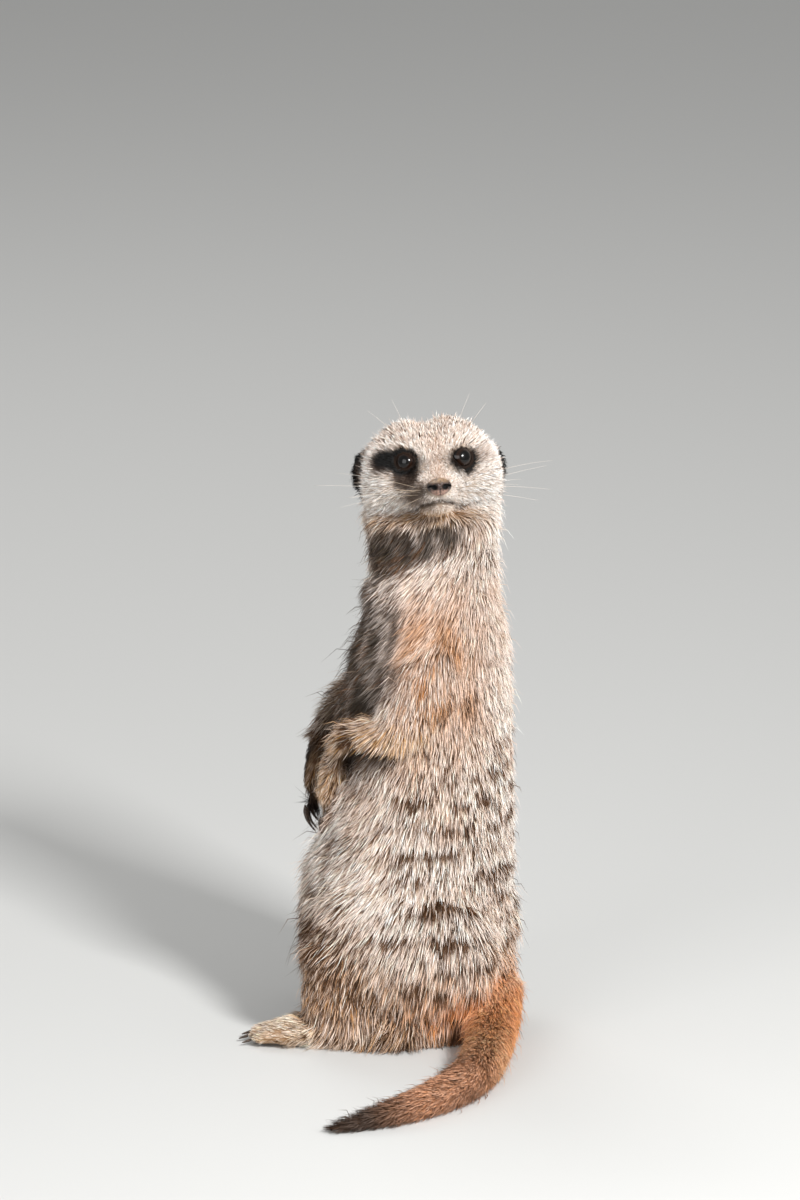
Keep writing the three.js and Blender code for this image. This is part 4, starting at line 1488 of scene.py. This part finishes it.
# %% Grow the coat, part by part
QUICK_SHARE = 1.0
GUARD_LENGTH = 1.22
FIRST_SEED = 100
flat_map = read(skin.data.uv_layers[MAP_NAME].data, "uv", 2).reshape(-1, 3, 2)
region_at = weights.argmax(1)


def grow_coat(name, chosen, spikes, guards, seed, material, clumping):
    rng = np.random.default_rng(seed)
    built = []
    for count, bent, longer in ((spikes, False, 1.0), (guards, True, GUARD_LENGTH)):
        picked, inside = scattered(chosen, int(count * QUICK_SHARE), rng)
        hairs = hair_paths(picked, inside, rng, longer, clumping)
        shades = hair_colours(picked, inside, hairs["lock"], hairs["locks"], rng, bent)
        places = np.einsum("ij,ijk->ik", inside, flat_map[picked])
        built.append(hair_mesh(hairs, shades, places, bent))
    corners, faces, strand, places, shades, soft = zip(*built)
    faces = np.concatenate([faces[0], faces[1] + len(corners[0])])
    mesh = mesh_from(name, np.concatenate(corners), faces, np.concatenate(strand),
                     np.concatenate(places), np.concatenate(shades))
    mesh.normals_split_custom_set_from_vertices(np.concatenate(soft))
    piece = add_object(name, mesh)
    mesh.materials.append(material)
    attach(piece, "root")
    print(name, len(faces), "triangles")
    return piece


def on(*names):
    return np.isin(region_at, [REGIONS.index(n) for n in names])


WAIST_TOP, RUMP_TOP = 150, 85
height = body_points[:, 2]
face_front = on("head", "jaw") & (head_y < -8)
waist = on("trunk") & (height <= WAIST_TOP) & (height > RUMP_TOP)
COAT = {  # name: where, fine hairs, guard hairs, material, slot, clumping
    "coat_face": (face_front, 34000, 5000, face_material, "face", 0.3),
    "coat_crown": (on("head", "jaw", "ear") & ~face_front, 23000, 3300, face_material, "face", 0.3),
    "coat_neck": (on("neck"), 21000, 6400, coat_material, "coat", 0.42),
    "coat_chest": (on("trunk") & (height > WAIST_TOP), 23000, 7800, coat_material, "coat", 0.45),
    "coat_waist": (waist, 23000, 8000, coat_material, "coat", 0.45),
    "coat_rump": (on("trunk") & (height <= RUMP_TOP), 23000, 8000, coat_material, "coat", 0.45),
    "coat_thighs": (on("thigh"), 22000, 7600, coat_material, "coat", 0.45),
    "coat_arms": (on("upper_arm", "forearm"), 17000, 4600, coat_material, "coat", 0.42),
    "coat_legs": (on("shank", "foot", "hand"), 20000, 3200, coat_material, "limb", 0.6),
    "coat_tail": (on("tail"), 21000, 5000, tail_material, "rusty", 0.32),
}
coats = [
    grow_coat(name, where, spikes, guards, FIRST_SEED + k, material, clumping)
    for k, (name, (where, spikes, guards, material, slot, clumping)) in enumerate(COAT.items())
]
print(sum(len(o.data.polygons) for o in coats), "triangles of coat")

# %% [markdown]
# The eyes are wet dark balls, set deep between the lids. Each is a sphere with its pole turned along
# the gaze and its cornea raised a little. The pupil, iris and rim are rings round that pole, so every
# point stores how far off the pole it is, and the material reads that.

# %% Eyes
CORNEA_RISE, CORNEA_EDGE, CORNEA_TOP = 0.4, 46, 18  # mm, and degrees off the gaze
RIGHT_ANGLE = 90
SPOKE_SCALE = 1.6  # how finely the iris's fibres change on the way round
EYE_RINGS = [  # share of a right angle off the gaze, colour
    (0.0, tone(4, 3, 3)),
    (0.24, tone(5, 4, 4)),
    (0.30, tone(24, 14, 9)),
    (0.42, tone(34, 19, 11)),
    (0.50, tone(14, 9, 7)),
    (0.58, tone(6, 5, 5)),
    (0.70, tone(12, 9, 8)),
    (1.0, tone(24, 18, 16)),
]


def eye_material():
    """Wet under a thin clear coat, with rings of colour round the gaze and fibres across them."""
    made, tree, shader = new_material(
        "eye", Roughness=0.3, Specular_IOR_Level=0.1, Coat_Weight=1.0, Coat_Roughness=0.03, Coat_IOR=1.34,
    )
    rings = add_node(tree, "ValToRGB", {"Fac": stored(tree, "off_gaze", "Fac")})
    ramp = rings.color_ramp.elements
    for k, (place, shade) in enumerate(EYE_RINGS):
        stop = ramp[k] if k < 2 else ramp.new(place)
        stop.position = place
        stop.color = (*shade, 1)
    fibres = add_node(tree, "TexNoise", {
        "Scale": 5.0, "Detail": 3.0, "Vector": stored(tree, "spokes", "Vector"),
    })
    vary = add_node(tree, "MapRange", {
        "From Min": 0.3, "From Max": 0.7, "To Min": 0.6, "To Max": 1.5, "Value": fibres.outputs["Fac"],
    })
    final = scaled(tree, rings.outputs["Color"], vary.outputs[0])
    tree.links.new(final, shader.inputs["Base Color"])
    return made


def make_eye(side, material):
    bpy.ops.object.select_all(action="DESELECT")
    bpy.ops.mesh.primitive_uv_sphere_add(segments=56, ring_count=36, radius=EYE_RADIUS * MM)
    eye = bpy.context.object
    eye.name = eye.data.name = f"eyeball_{side}"
    ball = unit(points_of(eye.data))
    off = np.degrees(np.arccos(np.clip(ball[:, 2], -1, 1)))
    reach = EYE_RADIUS + CORNEA_RISE * step(CORNEA_EDGE, CORNEA_TOP, off)
    gaze = unit((GAZE * SIDES[side]) @ head_axes)
    across = unit(np.cross(gaze, [0.0, 0.0, 1.0]))
    frame_of_eye = np.stack([across, np.cross(gaze, across), gaze])
    middle = np.array(eye_centres[side])
    move_points(eye.data, middle + (ball * reach[:, None] * MM) @ frame_of_eye)
    off_share = off / RIGHT_ANGLE
    set_values(eye.data, "off_gaze", off_share)
    spokes = eye.data.attributes.new("spokes", "FLOAT_VECTOR", "POINT")
    round_axis = unit(ball * [1, 1, 0]) * SPOKE_SCALE
    spokes.data.foreach_set("vector", np.c_[round_axis[:, :2], off_share].astype(np.float32).ravel())
    bpy.ops.object.shade_smooth()
    eye.data.materials.append(material)
    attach(eye, "root")
    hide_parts(f"eye_{side}")
    return eye


wet_eye = eye_material()
eyes = [make_eye(side, wet_eye) for side in SIDES]
print("eyes", [round(v / MM, 1) for v in eyes[0].dimensions], "mm")

# %% [markdown]
# The nose is a small leathery pad with two comma-shaped nostrils, a groove down its middle and a
# pebbled surface. It starts as an icosphere stretched to the pad's size. The nostrils are pressed
# in by curves, with a raised rim round each, and the pebbles are bump.

# %% Nose
NOSE_IN_HEAD, NOSE_RADII = np.array([0, -46.2, -8.7]), np.array([5.5, 4.5, 4.0])
NOSTRIL_APART, NOSTRIL_DEPTH = 2.4, 2.4
PEBBLE_DEPTH = 0.2 * MM


def nostril_distance(p):
    """0 at the middle of the nearer nostril and 1 at its edge, with a slit that curls out and up."""
    x, z = np.abs(p[:, 0]) - NOSTRIL_APART, p[:, 2]
    hole = np.hypot(x / 1.5, (z + 0.1) / 1.3)
    slit = np.hypot((x - 1.6) / 1.5, (z - 0.35 + 0.18 * (x - 1.6)) / 0.6)
    return np.minimum(hole, slit)


def make_nose():
    bpy.ops.object.select_all(action="DESELECT")
    bpy.ops.mesh.primitive_ico_sphere_add(subdivisions=6, radius=MM)
    nose = bpy.context.object
    nose.name = nose.data.name = "nose_pad"
    ball = unit(points_of(nose.data))
    pad = ball * NOSE_RADII
    front = step(0.1, 0.6, -ball[:, 1])
    near = nostril_distance(pad)
    pressed = NOSTRIL_DEPTH * step(1.15, 0.35, near) - 0.35 * bell(near, 1.5, 0.35)
    pressed += 0.45 * bell(pad[:, 0], 0, 0.35) * step(0.8, -0.6, pad[:, 2])
    pressed += 0.5 * step(1.2, 3.0, pad[:, 2])
    pad[:, 1] += pressed * front
    pad[:, 0] *= 1 - 0.12 * step(0.5, -3.0, pad[:, 2])
    move_points(nose.data, from_head(pad + NOSE_IN_HEAD))
    x, _, z = pad.T
    mottle = step(0.5, 0.75, cloud(pad, 0.7, 4))
    set_colours(nose.data, "hair", painted(
        np.tile(tone(70, 52, 45), (len(pad), 1)),
        (tone(158, 130, 102), step(1.2, 3.0, z)),
        (tone(58, 44, 38), mottle * 0.7),
        (tone(182, 146, 130), step(-1.0, -2.2, z) * (0.85 - 0.5 * mottle)),
        (SOOT, 0.85 * step(3.4, 4.8, np.hypot(x, z * 0.9)) * step(2.5, 0.5, z)),
        (tone(10, 8, 8), step(1.15, 0.6, near) * front),
        (BLACK, 0.6 * bell(x, 0, 0.3) * step(0.2, -0.8, z)),
    ))
    bpy.ops.object.shade_smooth()
    return nose


def nose_material():
    """Pebbled leather, whose darkest parts are dull, as the nostrils are."""
    made, tree, shader = new_material("nose leather")
    leather = stored(tree, "hair", "Color")
    pebbles = add_node(tree, "TexVoronoi", {"Scale": 2600.0, "Vector": place_of(tree)})
    vary = add_node(tree, "MapRange", {
        "From Max": 0.7, "To Min": 1.15, "To Max": 0.8, "Value": pebbles.outputs["Distance"],
    })
    tree.links.new(scaled(tree, leather, vary.outputs[0]), shader.inputs["Base Color"])
    relief = add_node(tree, "Bump", {
        "Strength": 0.5, "Distance": PEBBLE_DEPTH, "Height": pebbles.outputs["Distance"],
    }, invert=True)
    tree.links.new(relief.outputs["Normal"], shader.inputs["Normal"])
    gloss = add_node(tree, "MapRange", {
        "From Min": 0.004, "From Max": 0.03, "To Min": 1.0, "To Max": 0.34, "Value": leather,
    })
    tree.links.new(gloss.outputs[0], shader.inputs["Roughness"])
    return made


nose = make_nose()
nose.data.materials.append(nose_material())
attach(nose, "root")
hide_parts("nose")
print("nose pad of", len(nose.data.polygons), "faces")

# %% [markdown]
# The claws are long, dark and slightly curved, for digging. Their solids have the right shape, so a
# copy of each is merged and given a Subdivision Surface, which rounds its few faces. Horn is not of
# one tone, so noise mixes a dark and a light one in small clouds.

# %% Claws
def horn_material():
    made, tree, shader = new_material("claw horn", Roughness=0.34)
    streaks = add_node(tree, "TexNoise", {"Scale": 1100.0, "Detail": 2.0, "Vector": place_of(tree)})
    tones = add_node(tree, "ValToRGB", {"Fac": streaks.outputs["Fac"]})
    dark, light = tones.color_ramp.elements
    dark.position, dark.color = 0.35, (*tone(40, 32, 28), 1)
    light.position, light.color = 0.75, (*tone(104, 86, 72), 1)
    tree.links.new(tones.outputs["Color"], shader.inputs["Base Color"])
    return made


horn = horn_material()
claw_nodes = [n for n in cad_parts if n.startswith("claw_")]
for node in claw_nodes:
    claw = copy_of(node, node.replace("claw_", "horn_"))
    edit_all(claw, merge_points)
    rounder = claw.modifiers.new("rounder", "SUBSURF")
    rounder.levels = rounder.render_levels = 2
    bpy.ops.object.modifier_apply(modifier="rounder")
    bpy.ops.object.shade_smooth()
    claw.data.materials.append(horn)
    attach(claw, "root")
    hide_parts(node)
print(len(claw_nodes), "claws")

# %% [markdown]
# Whiskers are stiff hairs, far longer than the coat, on the muzzle, the cheeks and over the brows.
# Each is a thin cone of a few rings, bent along a curve that leaves the skin and droops at its end.

# %% Whiskers
WHISKERS = [  # root in the head's frame on the animal's left, way it points, length in mm
    ((7.0, -41.0, -9.6), (1.0, -0.15, 0.10), 44),
    ((7.6, -39.5, -10.6), (1.0, -0.10, 0.24), 50),
    ((7.6, -38.2, -9.0), (1.0, 0.12, 0.36), 50),
    ((8.2, -37.2, -11.6), (1.0, 0.05, -0.04), 42),
    ((8.2, -36.0, -10.2), (1.0, 0.25, 0.18), 42),
    ((7.0, -39.0, -12.6), (0.9, -0.25, -0.3), 30),
    ((19.0, -18.0, -10.0), (1.0, -0.3, 0.1), 24),
    ((9.5, -27.0, 13.0), (0.35, -0.35, 0.9), 26),
    ((14.0, -24.5, 13.5), (0.65, -0.25, 0.75), 24),
]
RINGS, CORNERS = 13, 4
THICKNESS, TIP_RADIUS = 0.085, 0.03  # mm that the radius loses on the way to the tip, and has there
DROOP, DROOP_SHARE = np.array([0, 0.35, -0.28]), 0.32


def whisker(root, way, length, rng):
    """Corners and faces of one whisker, and how far along it each corner is."""
    way = unit(way + rng.normal(0, 0.06, 3))
    t = np.linspace(0, 1, RINGS)[:, None]
    droop = DROOP + rng.normal(0, 0.1, 3)
    path = root + way * length * t + droop * length * DROOP_SHARE * t**2
    radius = THICKNESS * (1 - t[:, 0]) ** 0.8 + TIP_RADIUS
    heading = unit(np.gradient(path, axis=0))
    aside = unit(np.cross(heading, [0, 0.3, 1.0]))
    above = np.cross(heading, aside)
    turns = np.arange(CORNERS) * 2 * math.pi / CORNERS
    ring = aside[:, None] * np.cos(turns)[:, None] + above[:, None] * np.sin(turns)[:, None]
    corners = (path[:, None] + ring * radius[:, None, None]).reshape(-1, 3)
    faces = []
    for k in range(RINGS - 1):
        for j in range(CORNERS):
            a, b = CORNERS * k + j, CORNERS * k + (j + 1) % CORNERS
            faces += [[a, a + CORNERS, b + CORNERS], [a, b + CORNERS, b]]
    last = CORNERS * (RINGS - 1)
    faces += [[0, 1, 2], [0, 2, 3], [last, last + 2, last + 1], [last, last + 3, last + 2]]
    return corners, np.array(faces), np.repeat(t[:, 0], CORNERS)


def make_whiskers():
    rng = np.random.default_rng(77)
    built = []
    for mirror in SIDES.values():
        for root, way, length in WHISKERS:
            luck = rng.uniform(0.78, 1.0)
            built.append(whisker(np.array(root) * mirror, np.array(way) * mirror, length * luck, rng))
    corners, faces, strand = (np.concatenate(rows) for rows in zip(*built))
    which = np.repeat(np.arange(len(built)), RINGS * CORNERS)
    faces += RINGS * CORNERS * np.repeat(np.arange(len(built)), len(built[0][1]))[:, None]
    round_it = np.tile(np.arange(CORNERS) / CORNERS, RINGS * len(built))
    places = np.stack([(which + 0.1 + 0.8 * round_it) / len(built), strand], axis=1)
    shades = np.tile(tone(214, 206, 196), (len(corners), 1))
    piece = add_object("whiskers", mesh_from("whiskers", from_head(corners), faces, strand, places, shades))
    edit_all(piece, (bpy.ops.mesh.normals_make_consistent, {"inside": False}))
    return piece


whiskers = make_whiskers()
whiskers.data.materials.append(face_material)
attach(whiskers, "root")
print("whiskers of", len(whiskers.data.polygons), "triangles")

# %% [markdown]
# Last comes the size: the box of the finished model is measured against that of the solids, and how
# far it stands proud of them is printed.

# %% Size and finish
low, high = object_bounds()
proud = [max(a - b, c - d) * 1000 for a, b, c, d in zip(cad_low, low, high, cad_high)]
print("stands proud of the solids by", [round(v, 1) for v in proud], "mm")
